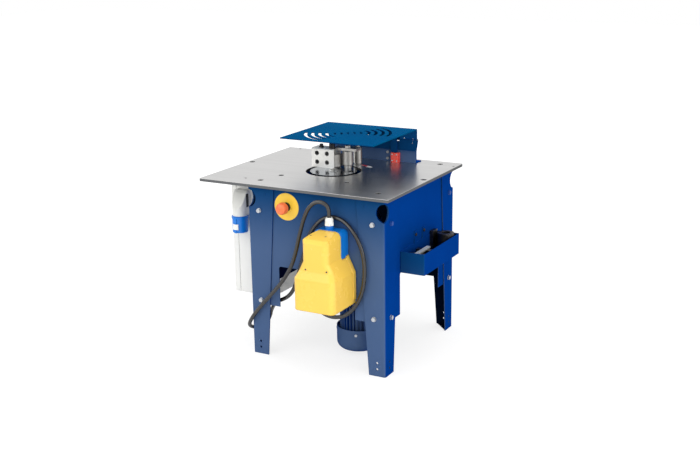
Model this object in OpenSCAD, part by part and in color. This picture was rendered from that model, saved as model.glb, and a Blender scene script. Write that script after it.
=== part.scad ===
// Stand-mounted bar bending machine: a steel table on four folded legs, a geared
// motor under it that turns a bending disc, and a hinged guard over the tooling.
// Millimetres, +Z up. The origin is the centre of the four feet, at floor level.

/* [Table] */
// Width of the table plate, left to right
table_w = 700; // [640:1:900]
// Depth of the table plate, front to back
table_d = 576; // [560:1:800]
// Thickness of the table plate
table_t = 10; // [8:1:16]
// Height of the working surface above the floor
table_h = 592; // [560:1:700]
// Overhang of the table past the left legs
table_over_left = 177; // [170:1:220]
// Overhang of the table past the front legs
table_over_front = 21; // [15:1:60]
// Hole in the table round the bending disc
disc_hole_d = 190; // [180:1:200]
// Bores for stop pins in the table
stop_bore_d = 18; // [14:0.5:22]
// Sideways distance of the stop bores from the disc axis
stop_bore_x = 125; // [115:1:140]
// Forward distance of the stop bores from the disc axis
stop_bore_y = 135; // [125:1:160]

/* [Frame] */
// Width over the legs
frame_w = 500; // [480:1:560]
// Depth over the legs
frame_d = 530; // [500:1:560]
// Sheet thickness of the legs
leg_t = 4; // [3:0.5:6]
// Width of each leg flange at the floor
leg_foot_w = 59; // [54:1:70]
// Width of each leg flange at the table
leg_top_w = 100; // [90:1:110]
// Outside bend radius of the leg corner
leg_bend_r = 7; // [6.5:0.5:9]
// Diameter of the lifting hole through each leg corner
lift_hole_d = 60; // [50:1:66]
// Drop of the lifting hole's centre below the table surface
lift_hole_drop = 52; // [48:1:60]
// Sheet thickness of the apron panels
panel_t = 2.5; // [2:0.5:3.5]
// Height of the lower edge of the panels above the floor
panel_low_z = 318; // [300:1:330]
// Height of the left panel's lower edge, behind the enclosure
left_low_z = 213; // [205:1:320]
// Height of the panel ears above the floor
ear_low_z = 178; // [160:1:182]
// Width of the arched cut-out in the front and rear panels
arch_front_w = 282; // [260:1:290]
// Width of the arched cut-out in the side panels
arch_side_w = 300; // [280:1:310]
// Width of the top flange of the panels
panel_flange_w = 48; // [46:1:60]
// Diameter of the frame bolts
bolt_d = 8; // [8:1:10]

/* [Disc and tooling] */
// Diameter of the bending disc
disc_d = 160; // [150:1:170]
// Thickness of the bending disc
disc_t = 22; // [18:1:24]
// Height of the disc face above the table
disc_proud = 1; // [1:0.1:3]
// Diameter of the tool bores in the disc
tool_bore_d = 20; // [16:0.5:22]
// Radius of the circle of tool bores
tool_bore_r = 62; // [60:0.5:63]
// Width of the bending block
block_w = 88; // [80:1:94]
// Depth of the bending block
block_d = 48; // [44:1:52]
// Height of the bending block
block_h = 67; // [62:1:74]
// Diameter of the bending roller
roller_d = 36; // [30:0.5:37]
// Diameter of the fixed back roller
back_roller_d = 30; // [26:0.5:34]
// Running clearance of rollers and shafts, on the radius
run_gap = 0.06; // [0.03:0.01:0.1]

/* [Drive] */
// Sideways offset of the motor axis from the disc axis
motor_off_x = 142; // [138:1:150]
// Forward offset of the motor axis from the disc axis
motor_off_y = 97; // [90:1:105]
// Outer diameter of the fan cowl
cowl_d = 150; // [146:1:160]
// Height of the fan cowl
cowl_h = 80; // [76:1:90]
// Height of the cowl's underside above the floor
cowl_low_z = 18; // [12:1:30]
// Diameter over the cooling fins
fin_d = 128; // [122:1:132]
// Number of cooling fins
fin_count = 32; // [20:1:40]
// Diameter of the motor shaft
motor_shaft_d = 24; // [19:1:28]
// Diameter of the output shaft
output_shaft_d = 50; // [42:1:55]

/* [Guard] */
// Width of the guard plate
guard_w = 352; // [320:1:360]
// Depth of the guard plate
guard_d = 331; // [320:1:340]
// Height of the guard plate above the table
guard_h = 120; // [112:1:140]
// Sheet thickness of the guard
guard_t = 3; // [2:0.5:4]
// Distance of the guard's hinge line above the table
hinge_h = 80; // [76:1:84]
// Diameter of the guard's hinge pin
hinge_pin_d = 6; // [5:0.5:7]

/* [Controls] */
// Diameter of the emergency stop label disc
estop_label_d = 90; // [80:1:94]
// Diameter of the emergency stop mushroom
mushroom_d = 40; // [36:1:50]
// Travel of the emergency stop
estop_travel = 5; // [4:0.5:6]
// Width of the foot pedal at its switch block
pedal_w = 96; // [84:1:100]
// Depth of the foot pedal's switch block
pedal_d = 42; // [38:1:46]
// Width of the foot pedal at its foot opening
hood_w = 144; // [128:1:150]
// Depth of the foot pedal over its hood
hood_d = 144; // [136:1:150]
// Wall of the pedal hood
hood_t = 3.5; // [2.5:0.5:4]
// Diameter of the pedal cable
cable_d = 13; // [12:0.5:13]

/* [Electrical enclosure] */
// Height of the enclosure
encl_h = 400; // [380:1:405]
// Width of the enclosure, front to back
encl_w = 300; // [280:1:304]
// Depth of the enclosure's base, off the panel
encl_base_d = 134; // [120:1:140]
// Depth of the enclosure's cover
encl_cover_d = 20; // [16:1:24]
// Wall of the enclosure
encl_t = 3; // [2:0.5:4]
// Diameter of the power inlet's collar
inlet_d = 57; // [50:1:58]

/* [Accessory tray] */
// Depth of the tray, off the side panel
tray_w = 86; // [70:1:110]
// Length of the tray, front to back
tray_l = 278; // [240:1:290]
// Height of the tray's walls
tray_h = 70; // [60:1:80]
// Sheet thickness of the tray
tray_t = 2.5; // [2:0.5:3]

/* [Hidden] */
$fn = 64;

eps = 0.01;
seat = 0.3;

blue = [0.02, 0.20, 0.55];
guard_blue = [0.02, 0.40, 0.66];
steel = [0.62, 0.62, 0.60];
tool_steel = [0.80, 0.79, 0.76];
zinc = [0.86, 0.88, 0.90];
yellow = [0.98, 0.80, 0.28];
black = [0.06, 0.06, 0.06];
off_white = [0.90, 0.90, 0.86];
signal_red = [0.93, 0.22, 0.12];

table_low = table_h - table_t;
table_x0 = -frame_w / 2 - table_over_left;
table_y0 = -frame_d / 2 - table_over_front;
disc_x = table_x0 + table_w / 2;
disc_y = table_y0 + table_d / 2;
disc_top = table_h + disc_proud;
disc_low = disc_top - disc_t;
motor_x = disc_x + motor_off_x;
motor_y = disc_y - motor_off_y;

// Stations of the frame bolts: inset from the corner, and height
bolt_inset_high = 42;
bolt_inset_low = 39;
bolt_z_high = table_h - 91;
bolt_z_low = 193;
head_af = 1.625 * bolt_d;
head_h = 0.66 * bolt_d;
washer_d = 2 * bolt_d;
washer_t = 1.6;
bolt_hole_d = bolt_d + 1;

// Faces of the panels, inside the leg flanges
panel_x = frame_w / 2 - leg_t;
panel_y = frame_d / 2 - leg_t;

// ---------- shared shapes ----------

module rounded_square(w, d, r) {
  translate([r, 0]) square([w - 2 * r, d]);
  translate([0, r]) square([w, d - 2 * r]);
  for (x = [r, w - r], y = [r, d - r])
    translate([x, y]) circle(r);
}

// Straight slot with round ends, centred, its length along Y
module rounded_slot(w, l) {
  square([w, l - w], center = true);
  for (e = [-1, 1]) translate([0, e * (l - w) / 2]) circle(d = w);
}

module slab(x0, y0, z0, w, d, h, r) {
  translate([x0, y0, z0]) linear_extrude(h) rounded_square(w, d, r);
}

module hex_head(af, h) {
  cylinder(d = af / cos(30), h = h, $fn = 6);
}

// Round-headed cylinder with a hexagon socket, head upwards from z = 0
module socket_head(d, h, socket_af) {
  difference() {
    cylinder(d = d, h = h);
    translate([0, 0, h * 0.45]) hex_head(socket_af, h);
  }
}

// Lies along +Y from y = 0, out of the drawing plane of the front
module along_y() {
  rotate([-90, 0, 0]) children();
}

module along_x() {
  rotate([0, 90, 0]) children();
}

// Extrudes an outline drawn in X and Z along +Y from y0
module extrude_y(y0, d) {
  translate([0, y0 + d, 0]) rotate([90, 0, 0]) linear_extrude(d) children();
}

// Extrudes an outline drawn in Y and Z along +X from x0
module extrude_x(x0, w) {
  translate([x0, 0, 0]) rotate([90, 0, 90]) linear_extrude(w) children();
}

// ---------- frame ----------

// Everything that goes through one corner of the frame's sheets: the lifting hole
module lift_hole(sx, sy) {
  translate([sx * frame_w / 2, sy * frame_d / 2, table_h - lift_hole_drop])
    intersection() {
      rotate([90, 0, 0]) cylinder(d = lift_hole_d, h = lift_hole_d, center = true);
      along_x() cylinder(d = lift_hole_d, h = lift_hole_d, center = true);
    }
}

// The bolt holes of the front and rear joints, then of the side joints
module frame_bolt_holes() {
  for (sx = [-1, 1], st = bolt_stations())
    translate([sx * (frame_w / 2 - st[0]), 0, st[1]])
      rotate([90, 0, 0]) cylinder(d = bolt_hole_d, h = frame_d + 2, center = true);
  for (sy = [-1, 1], st = bolt_stations())
    translate([0, sy * (frame_d / 2 - st[0]), st[1]])
      along_x() cylinder(d = bolt_hole_d, h = frame_w + 2, center = true);
}

function bolt_stations() = [
  [bolt_inset_high, bolt_z_high],
  [bolt_inset_low, bolt_z_low]
];

// L section of a leg with a rolled corner, the corner at the origin
module leg_section(w) {
  difference() {
    union() {
      translate([leg_bend_r, 0]) square([w - leg_bend_r, w]);
      translate([0, leg_bend_r]) square([w, w - leg_bend_r]);
      translate([leg_bend_r, leg_bend_r]) circle(leg_bend_r);
    }
    translate([leg_bend_r, leg_t]) square([w, w]);
    translate([leg_t, leg_bend_r]) square([w, w]);
    translate([leg_bend_r, leg_bend_r]) circle(leg_bend_r - leg_t);
  }
}

// Cuts one flange back to its taper
module taper_cut() {
  rotate([90, 0, 0]) linear_extrude(3 * leg_t, center = true)
    polygon([
      [leg_foot_w, -1], [leg_top_w, table_low + eps], [leg_top_w + 1, table_low + 1],
      [leg_top_w + 1, -1]
    ]);
}

foot_plate_t = 4;
anchor_inset = 22;
anchor_d = 9;
foot_hole_d = 8;
foot_hole_inset = 30;
foot_hole_z = [24, 45];

// A folded leg at the front left corner, mirrored to the other three
module leg(sx, sy) {
  color(blue)
  difference() {
    scale([-sx, -sy, 1])
      translate([-frame_w / 2, -frame_d / 2, 0])
      union() {
        difference() {
          linear_extrude(table_low) leg_section(leg_top_w);
          taper_cut();
          mirror([1, -1, 0]) taper_cut();
          for (z = foot_hole_z) {
            translate([foot_hole_inset, 0, z])
              rotate([90, 0, 0])
              cylinder(d = foot_hole_d, h = 4 * leg_t, center = true);
            translate([0, foot_hole_inset, z])
              along_x()
              cylinder(d = foot_hole_d, h = 4 * leg_t, center = true);
          }
        }
        foot_plate();
      }
    lift_hole(sx, sy);
    frame_bolt_holes();
  }
}

// Three-cornered foot plate welded inside the leg, with an anchor hole
module foot_plate() {
  reach = leg_foot_w - 4;
  difference() {
    linear_extrude(foot_plate_t)
      polygon([[leg_t, leg_t], [reach, leg_t], [leg_t, reach]]);
    translate([anchor_inset, anchor_inset, -1])
      cylinder(d = anchor_d, h = foot_plate_t + 2);
  }
}

module leg_front_left() { leg(-1, -1); }
module leg_front_right() { leg(1, -1); }
module leg_rear_left() { leg(-1, 1); }
module leg_rear_right() { leg(1, 1); }

arch_r = 8;

// Outline of a panel: an apron with an arched cut-out between two ears
module panel_outline(half_w, arch_w, low = panel_low_z) {
  difference() {
    translate([-half_w, ear_low_z])
      square([2 * half_w, table_low - ear_low_z]);
    translate([-arch_w / 2, ear_low_z - 1])
      square([arch_w, low - ear_low_z + 1 - arch_r]);
    translate([-arch_w / 2 + arch_r, ear_low_z - 1])
      square([arch_w - 2 * arch_r, low - ear_low_z + 1]);
    for (s = [-1, 1])
      translate([s * (arch_w / 2 - arch_r), low - arch_r])
        circle(arch_r);
  }
}

screw_x_left = -226;
screw_x_right = 207;
screw_y_front = disc_y - 224;
screw_y_rear = disc_y + 244;
table_screw_d = 10;
table_screw_head_d = 20;

module table_screw_places() {
  for (x = [screw_x_left, screw_x_right], y = [screw_y_front, screw_y_rear])
    translate([x, y, 0]) children();
}

// A front or rear panel: sy is -1 at the front and 1 at the rear
module end_panel(sy) {
  half_w = panel_x - leg_bend_r + leg_t;
  y_in = sy > 0 ? panel_y - panel_t : -panel_y;
  flange_y = sy > 0 ? panel_y - panel_flange_w : -panel_y;
  color(blue)
  difference() {
    union() {
      extrude_y(y_in, panel_t) panel_outline(half_w, arch_front_w);
      translate([-half_w, flange_y, table_low - panel_t])
        cube([2 * half_w, panel_flange_w, panel_t]);
    }
    for (sx = [-1, 1]) lift_hole(sx, sy);
    frame_bolt_holes();
    table_screw_places()
      translate([0, 0, table_low - panel_t - 1])
      cylinder(d = table_screw_d + 1, h = panel_t + 2);
    if (sy < 0) estop_hole();
  }
}

// A side panel: sx is -1 on the left and 1 on the right
module side_panel(sx) {
  half_d = panel_y - panel_t;
  x_in = sx > 0 ? panel_x - panel_t : -panel_x;
  flange_x = sx > 0 ? panel_x - panel_flange_w : -panel_x;
  flange_half = panel_y - panel_flange_w - 1;
  color(blue)
  difference() {
    union() {
      extrude_x(x_in, panel_t)
        panel_outline(half_d, arch_side_w, sx > 0 ? panel_low_z : left_low_z);
      translate([flange_x, -flange_half, table_low - panel_t])
        cube([panel_flange_w, 2 * flange_half, panel_t]);
    }
    for (sy = [-1, 1]) lift_hole(sx, sy);
    frame_bolt_holes();
    if (sx > 0) tray_screw_places()
      along_x() cylinder(d = tray_screw_d + 0.5, h = 20, center = true);
    // The cable's gland passes through the left panel
    if (sx < 0) translate([-panel_x - 5, cable_end[1], cable_end[2]])
      along_x() cylinder(d = 34, h = 12);
    // Relief in the left fold round the gearbox flange
    if (sx < 0) translate([disc_x, disc_y, table_low - panel_t - 1])
      cylinder(r = flange_r + 2, h = panel_t + 2);
  }
}

module front_panel() { end_panel(-1); }
module rear_panel() { end_panel(1); }
module left_panel() { side_panel(-1); }
module right_panel() { side_panel(1); }

// Puts its children at each frame bolt, +Z pointing outwards from the leg's face
module at_frame_bolts() {
  for (sx = [-1, 1], sy = [-1, 1], st = bolt_stations()) {
    translate([sx * (frame_w / 2 - st[0]), sy * frame_d / 2, st[1]])
      rotate([-sy * 90, 0, 0]) children();
    translate([sx * frame_w / 2, sy * (frame_d / 2 - st[0]), st[1]])
      rotate([0, sx * 90, 0]) children();
  }
}

bolt_grip = leg_t + panel_t;
nut_h = 0.8 * bolt_d;

module frame_bolts() {
  color(zinc)
  at_frame_bolts() {
    cylinder(d = washer_d, h = washer_t);
    translate([0, 0, washer_t]) hex_head(head_af, head_h);
    translate([0, 0, -bolt_grip - nut_h - 3])
      cylinder(d = bolt_d, h = bolt_grip + nut_h + 3 + eps);
  }
}

module frame_nuts() {
  color(zinc)
  at_frame_bolts()
    translate([0, 0, -bolt_grip - nut_h])
    difference() {
      hex_head(head_af, nut_h);
      translate([0, 0, -1]) cylinder(d = bolt_d + 0.1, h = nut_h + 2);
    }
}

// ---------- table ----------

edge_bore_d = 20;
edge_bore_x = 332;
edge_bore_y = 5;
small_bore_d = 9;

// Small threaded places for accessories, measured from the disc axis
small_bores = [[-210, -220], [339, 233], [-297, 274]];

module table_plate() {
  color(steel)
  difference() {
    slab(table_x0, table_y0, table_low, table_w, table_d, table_t, 4);
    translate([disc_x, disc_y, table_low - 1]) {
      cylinder(d = disc_hole_d, h = table_t + 2, $fn = 96);
      for (s = [-1, 1]) {
        translate([s * stop_bore_x, -stop_bore_y, 0])
          cylinder(d = stop_bore_d, h = table_t + 2);
        translate([s * edge_bore_x, edge_bore_y, 0])
          cylinder(d = edge_bore_d, h = table_t + 2);
      }
      for (p = small_bores)
        translate([p[0], p[1], 0]) cylinder(d = small_bore_d, h = table_t + 2);
    }
    table_screw_places() {
      translate([0, 0, table_low - 1])
        cylinder(d = table_screw_d + 0.5, h = table_t + 2);
      translate([0, 0, table_h - table_screw_sink])
        cylinder(d = table_screw_head_d + 0.5, h = table_t);
    }
    at_gearbox_bolts()
      translate([0, 0, table_low - 1])
      cylinder(d = gear_bolt_d + 0.4, h = gear_bolt_reach + 1.4);
    translate([back_pin_x, back_pin_y, table_low - 1])
      cylinder(d = back_pin_d + 2 * run_gap, h = table_t + 2);
    at_bracket_screws()
      translate([0, 0, table_low - 1])
      cylinder(d = bracket_screw_d + 0.4, h = table_t + 2);
  }
}

table_screw_sink = 6;

// Socket screws sunk in the table, each with its nut under the panel flange
module table_screws() {
  flange_low = table_low - panel_t;
  color(zinc)
  table_screw_places() {
    translate([0, 0, table_h - table_screw_sink])
      socket_head(table_screw_head_d, table_screw_sink - 0.8, 8);
    translate([0, 0, flange_low - 12])
      cylinder(d = table_screw_d, h = table_h - table_screw_sink - flange_low + 12);
    translate([0, 0, flange_low - 8]) hex_head(17, 8);
  }
}

// ---------- drive ----------

gear_top_z = 520;
gear_low_z = 400;
gear_r_out = 92;
gear_r_in = 68;
cup_r = disc_hole_d / 2 + 12;
cup_inner_r = disc_hole_d / 2 + 2;
cup_floor_z = 540;
flange_r = cup_r + 28;
flange_t = 14;
gear_bolt_d = 10;
gear_bolt_pcr = cup_r + 14;
gear_bolt_reach = 7;
gear_bolt_count = 6;
neck_r = 56;
motor_flange_r = 80;
motor_flange_t = 14;
motor_top_z = 272;
shaft_top_z = 380;

module at_gearbox_bolts() {
  for (i = [0 : gear_bolt_count - 1])
    translate([disc_x, disc_y, 0])
      rotate([0, 0, 30 + i * 360 / gear_bolt_count])
      translate([gear_bolt_pcr, 0, 0]) children();
}

// Outline of the gear case: two circles joined by their outer tangents
module case_outline(grow) {
  r1 = gear_r_out + grow;
  r2 = gear_r_in + grow;
  reach = sqrt(motor_off_x * motor_off_x + motor_off_y * motor_off_y);
  lean = acos((r1 - r2) / reach);
  rotate([0, 0, atan2(-motor_off_y, motor_off_x)]) {
    circle(r1);
    translate([reach, 0]) circle(r2);
    polygon([
      [r1 * cos(lean), r1 * sin(lean)], [reach + r2 * cos(lean), r2 * sin(lean)],
      [reach + r2 * cos(lean), -r2 * sin(lean)], [r1 * cos(lean), -r1 * sin(lean)]
    ]);
  }
}

rib_count = 12;
rib_t = 6;

module gearbox_housing() {
  joint_z = 462;
  color(blue)
  difference() {
    union() {
      translate([disc_x, disc_y, 0]) {
        translate([0, 0, gear_low_z])
          linear_extrude(gear_top_z - gear_low_z) case_outline(0);
        // Bolted joint flange round the two halves of the case
        translate([0, 0, joint_z - 8]) linear_extrude(16) case_outline(9);
        translate([0, 0, gear_top_z - eps])
          cylinder(r = cup_r, h = table_low - gear_top_z + eps);
        translate([0, 0, table_low - flange_t])
          cylinder(r = flange_r, h = flange_t, $fn = 96);
        for (i = [0 : rib_count - 1])
          rotate([0, 0, (i + 0.5) * 360 / rib_count])
            translate([cup_r - 2, -rib_t / 2, gear_top_z])
            cube([flange_r - cup_r - 4, rib_t, table_low - gear_top_z - 2]);
      }
      translate([motor_x, motor_y, 0]) {
        translate([0, 0, motor_top_z + motor_flange_t])
          cylinder(r = neck_r, h = gear_low_z - motor_top_z - motor_flange_t + eps);
        translate([0, 0, motor_top_z + motor_flange_t])
          cylinder(r = motor_flange_r, h = motor_flange_t, $fn = 96);
      }
    }
    translate([disc_x, disc_y, 0]) {
      translate([0, 0, cup_floor_z])
        cylinder(r = cup_inner_r, h = table_h - cup_floor_z, $fn = 96);
      translate([0, 0, output_low_z - 1])
        cylinder(r = output_shaft_d / 2 + run_gap, h = table_h);
    }
    translate([motor_x, motor_y, motor_top_z - 1])
      cylinder(r = motor_shaft_d / 2 + run_gap, h = shaft_top_z - motor_top_z + 2);
    at_gearbox_bolts()
      translate([0, 0, table_low - flange_t - 1])
      cylinder(d = gear_bolt_d + 1, h = flange_t + 2);
  }
}

// Hexagon bolts from below that hang the gearbox on the table plate
module gearbox_bolts() {
  low = table_low - flange_t;
  color(zinc)
  at_gearbox_bolts() {
    translate([0, 0, low - 6.4]) hex_head(16, 6.4);
    translate([0, 0, low - eps])
      cylinder(d = gear_bolt_d, h = flange_t + gear_bolt_reach + eps);
  }
}

output_low_z = 440;
shaft_flange_r = 56;
shaft_flange_t = 12;
spigot_r = 15;
spigot_h = 12;
disc_bolt_pcr = 40;
disc_bolt_d = 10;
disc_bolt_depth = 14;

module at_disc_bolts() {
  for (a = [0 : 90 : 270])
    translate([disc_x, disc_y, 0]) rotate([0, 0, a])
      translate([disc_bolt_pcr, 0, 0]) children();
}

module output_shaft() {
  color(steel)
  difference() {
    translate([disc_x, disc_y, 0]) {
      translate([0, 0, output_low_z])
        cylinder(d = output_shaft_d, h = disc_low - output_low_z);
      translate([0, 0, disc_low - shaft_flange_t])
        cylinder(r = shaft_flange_r, h = shaft_flange_t);
      translate([0, 0, disc_low - eps])
        cylinder(r = spigot_r, h = spigot_h + eps);
    }
    at_disc_bolts()
      translate([0, 0, disc_low - shaft_flange_t - 1])
      cylinder(d = disc_bolt_d + 0.6, h = shaft_flange_t + 2);
  }
}

module disc_bolts() {
  low = disc_low - shaft_flange_t;
  color(zinc)
  at_disc_bolts() {
    translate([0, 0, low - 6]) hex_head(16, 6);
    translate([0, 0, low - eps])
      cylinder(d = disc_bolt_d, h = shaft_flange_t + disc_bolt_depth - 1);
  }
}

// Angles of the tool bores round the disc: free, roller and block dowel
free_bore_a = 12;
roller_a = 68;
dowel_a = 140;

module bending_disc() {
  color(steel)
  difference() {
    translate([disc_x, disc_y, disc_low])
      cylinder(d = disc_d, h = disc_t, $fn = 96);
    translate([disc_x, disc_y, disc_low - 1]) {
      cylinder(r = spigot_r + 0.1, h = disc_t + 2);
      for (a = [free_bore_a, roller_a, dowel_a])
        rotate([0, 0, a]) translate([tool_bore_r, 0, 0])
          cylinder(d = tool_bore_d + 0.1, h = disc_t + 2);
    }
    at_disc_bolts()
      translate([0, 0, disc_low - 1])
      cylinder(d = disc_bolt_d + 0.1, h = disc_bolt_depth + 1);
    at_block_bolt()
      translate([0, 0, disc_low + 4])
      cylinder(d = block_bolt_d + 0.1, h = disc_t);
  }
}

// Low centre pin that stands in the disc's bore on the shaft's spigot
module centre_pin() {
  low = disc_low + spigot_h;
  color(tool_steel)
  translate([disc_x, disc_y, low])
    difference() {
      union() {
        cylinder(r = spigot_r, h = disc_top - low + 2);
        translate([0, 0, disc_top - low + 2 - eps])
          cylinder(r1 = spigot_r, r2 = spigot_r - 2, h = 2);
      }
      translate([0, 0, disc_top - low - 5]) hex_head(12, 12);
    }
}

// ---------- tooling ----------

// The block's near right corner, measured from the disc axis
block_right = -10;
block_front = 20;
block_x0 = disc_x + block_right - block_w;
block_y0 = disc_y + block_front;
block_top = disc_top + block_h;
screw_pitch_x = 39;
screw_pitch_z = 31;
cap_d = 15;
cap_h = 8;
cap_sink = 4;
cap_screw_d = 8;
block_bolt_d = 12;
block_bolt_cap_d = 20;
block_bolt_inset_x = 14;
block_bolt_inset_y = 13;
side_screw_inset_x = 63;
backing_t = 11;
rebate_w = 18;
rebate_h = 7;
bridge_t = 9;
bridge_low = block_top - rebate_h;

module at_block_bolt() {
  translate([block_x0 + block_w - block_bolt_inset_x, block_y0 + block_bolt_inset_y, 0])
    children();
}

// The four cap screws of the block, +Z pointing at the operator
module at_block_screws() {
  for (sx = [-1, 1], sz = [-1, 1])
    translate([
      block_x0 + block_w / 2 - 3 + sx * screw_pitch_x / 2,
      block_y0,
      disc_top + block_h / 2 + 1 + sz * screw_pitch_z / 2
    ])
      rotate([90, 0, 0]) children();
}

module bending_block() {
  bevel = 3;
  color(tool_steel)
  difference() {
    extrude_x(block_x0, block_w)
      translate([block_y0, disc_top])
      polygon([
        [0, 0], [block_d, 0], [block_d, block_h], [bevel, block_h], [0, block_h - bevel]
      ]);
    // Rebate that the bridge plate lies in
    translate([block_x0 + block_w - rebate_w, bridge_y0 - seat, bridge_low])
      cube([rebate_w + 1, block_d, block_h]);
    at_block_screws() {
      translate([0, 0, -block_d - 1])
        cylinder(d = cap_screw_d + 1, h = block_d + 2);
      translate([0, 0, -cap_h - cap_sink]) cylinder(d = cap_d + 1, h = cap_h + cap_sink + 1);
    }
    at_block_bolt()
      translate([0, 0, disc_top - 1])
      cylinder(d = block_bolt_d + 1, h = block_h + 2);
    at_side_bolt()
      translate([0, 0, block_top - 11])
      cylinder(d = 8.4, h = 12);
    rotate_about_disc(dowel_a)
      translate([tool_bore_r, 0, disc_top - 1])
      cylinder(d = tool_bore_d - 6 + 0.2, h = 13);
  }
}

module rotate_about_disc(a) {
  translate([disc_x, disc_y, 0]) rotate([0, 0, a]) children();
}

module at_side_bolt() {
  translate([block_x0 + block_w - side_screw_inset_x, block_y0 + 26, 0]) children();
}

module backing_plate() {
  color(tool_steel)
  difference() {
    slab(block_x0 + 6, block_y0 + block_d, disc_top, block_w - 7 - rebate_w,
      backing_t, block_h - 3, 2);
    at_block_screws()
      translate([0, 0, -block_d - backing_t - 1])
      cylinder(d = cap_screw_d + 0.2, h = backing_t + 2);
  }
}

// Cap screws in the block's face, the clamp bolt, the dowel and the stop bolt
module block_screws() {
  color(steel) {
    at_block_screws() {
      translate([0, 0, -cap_h - cap_sink + 1]) socket_head(cap_d, cap_h - 1, 6);
      translate([0, 0, -block_d - backing_t + 2])
        cylinder(d = cap_screw_d, h = block_d + backing_t - 1 - cap_h - cap_sink + eps);
    }
    at_block_bolt() {
      translate([0, 0, block_top]) cylinder(d = block_bolt_cap_d + 2, h = 2);
      translate([0, 0, block_top + 2]) socket_head(block_bolt_cap_d, 14, 10);
      translate([0, 0, disc_low + 5])
        cylinder(d = block_bolt_d, h = block_top + 2 - disc_low - 5 + eps);
    }
    at_side_bolt() {
      translate([0, 0, block_top + 3]) hex_head(13, 7);
      translate([0, 0, block_top]) cylinder(d = 17, h = 3 + eps);
      translate([0, 0, block_top - 10]) cylinder(d = 8, h = 10 + eps);
    }
    rotate_about_disc(dowel_a) translate([tool_bore_r, 0, 0]) {
      translate([0, 0, disc_low + 1])
        cylinder(d = tool_bore_d, h = disc_top - disc_low - 1);
      translate([0, 0, disc_top - eps])
        cylinder(d = tool_bore_d - 6, h = 11);
    }
  }
}

roller_x = disc_x + tool_bore_r * cos(roller_a);
roller_y = disc_y + tool_bore_r * sin(roller_a);
collar_h = 10;
bridge_y0 = block_y0 + 26;
bridge_d = 38;
bridge_x0 = block_x0 + block_w - rebate_w + seat;
bridge_w = 88;

// Hardened wedge on the block's right face, in front of the roller
module jaw_wedge() {
  x0 = block_x0 + block_w;
  reach = roller_x - roller_d / 2 - 2.5 - x0;
  color(tool_steel)
  translate([x0, block_y0, disc_top + 5])
    linear_extrude(42)
    polygon([[0, 3], [reach * 0.85, 26], [reach * 0.85, block_d - 4], [0, block_d - 4]]);
}

// Shouldered pin that stands in the disc and carries the bending roller
module roller_pin() {
  stem_d = tool_bore_d;
  color(steel)
  translate([roller_x, roller_y, 0]) {
    translate([0, 0, disc_low + 1]) cylinder(d = stem_d, h = disc_top - disc_low - 1);
    translate([0, 0, disc_top]) cylinder(d = stem_d + 8, h = collar_h);
    translate([0, 0, disc_top + collar_h - eps])
      cylinder(d = stem_d - 2, h = bridge_low - disc_top - collar_h + eps);
    translate([0, 0, bridge_low - eps])
      cylinder(d = 12, h = bridge_t + 2 * eps);
    translate([0, 0, bridge_low + bridge_t]) hex_head(18, 8);
  }
}

module bending_roller() {
  low = disc_top + collar_h + seat;
  high = bridge_low - seat;
  color(tool_steel)
  translate([roller_x, roller_y, low])
    difference() {
      rotate_extrude($fn = 96)
        polygon([
          [0, 0], [roller_d / 2 - 1.5, 0], [roller_d / 2, 1.5],
          [roller_d / 2, high - low - 1.5], [roller_d / 2 - 1.5, high - low],
          [0, high - low]
        ]);
      translate([0, 0, -1])
        cylinder(d = tool_bore_d - 2 + 2 * run_gap, h = high - low + 2);
    }
}

// Bridge that ties the roller pin's head to the block
module bridge_plate() {
  color(steel)
  difference() {
    slab(bridge_x0, bridge_y0, bridge_low, bridge_w, bridge_d, bridge_t, 5);
    translate([roller_x, roller_y, bridge_low - 1])
      cylinder(d = 12.2, h = bridge_t + 2);
  }
}

back_pin_d = 18;
back_pin_x = disc_x + 19;
back_pin_y = disc_y + 138;
back_roller_h = 54;

// Fixed pin behind the disc, in a reamed bore of the table
module back_pin() {
  top = table_h + 2 + back_roller_h + 2 * seat;
  color(steel)
  translate([back_pin_x, back_pin_y, 0]) {
    translate([0, 0, table_low]) cylinder(d = back_pin_d, h = top - table_low);
    translate([0, 0, table_h]) cylinder(d = back_pin_d + 7, h = 2);
    translate([0, 0, top - eps]) cylinder(d = back_pin_d + 6, h = 3);
    translate([0, 0, top + 3 - 2 * eps]) hex_head(13, 5);
  }
}

module back_roller() {
  color(tool_steel)
  translate([back_pin_x, back_pin_y, table_h + 2 + seat])
    difference() {
      rotate_extrude($fn = 96)
        polygon([
          [0, 0], [back_roller_d / 2 - 1, 0], [back_roller_d / 2, 1],
          [back_roller_d / 2, back_roller_h - 1], [back_roller_d / 2 - 1, back_roller_h],
          [0, back_roller_h]
        ]);
      translate([0, 0, -1])
        cylinder(d = back_pin_d + 2 * run_gap, h = back_roller_h + 2);
    }
}

// ---------- motor ----------

motor_core_r = fin_d / 2 - 12;
cowl_wall = 2;
cowl_top_z = cowl_low_z + cowl_h;
cowl_round = 26;
bell_low_z = cowl_top_z - 22;
fin_t = 2.6;
fin_low_z = cowl_top_z - 14;
cowl_boss_r = cowl_d / 2 - cowl_wall;
box_w = 84;
box_turn = 119;
box_low_z = 150;
pad_r = fin_d / 2 + 0.5;

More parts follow.
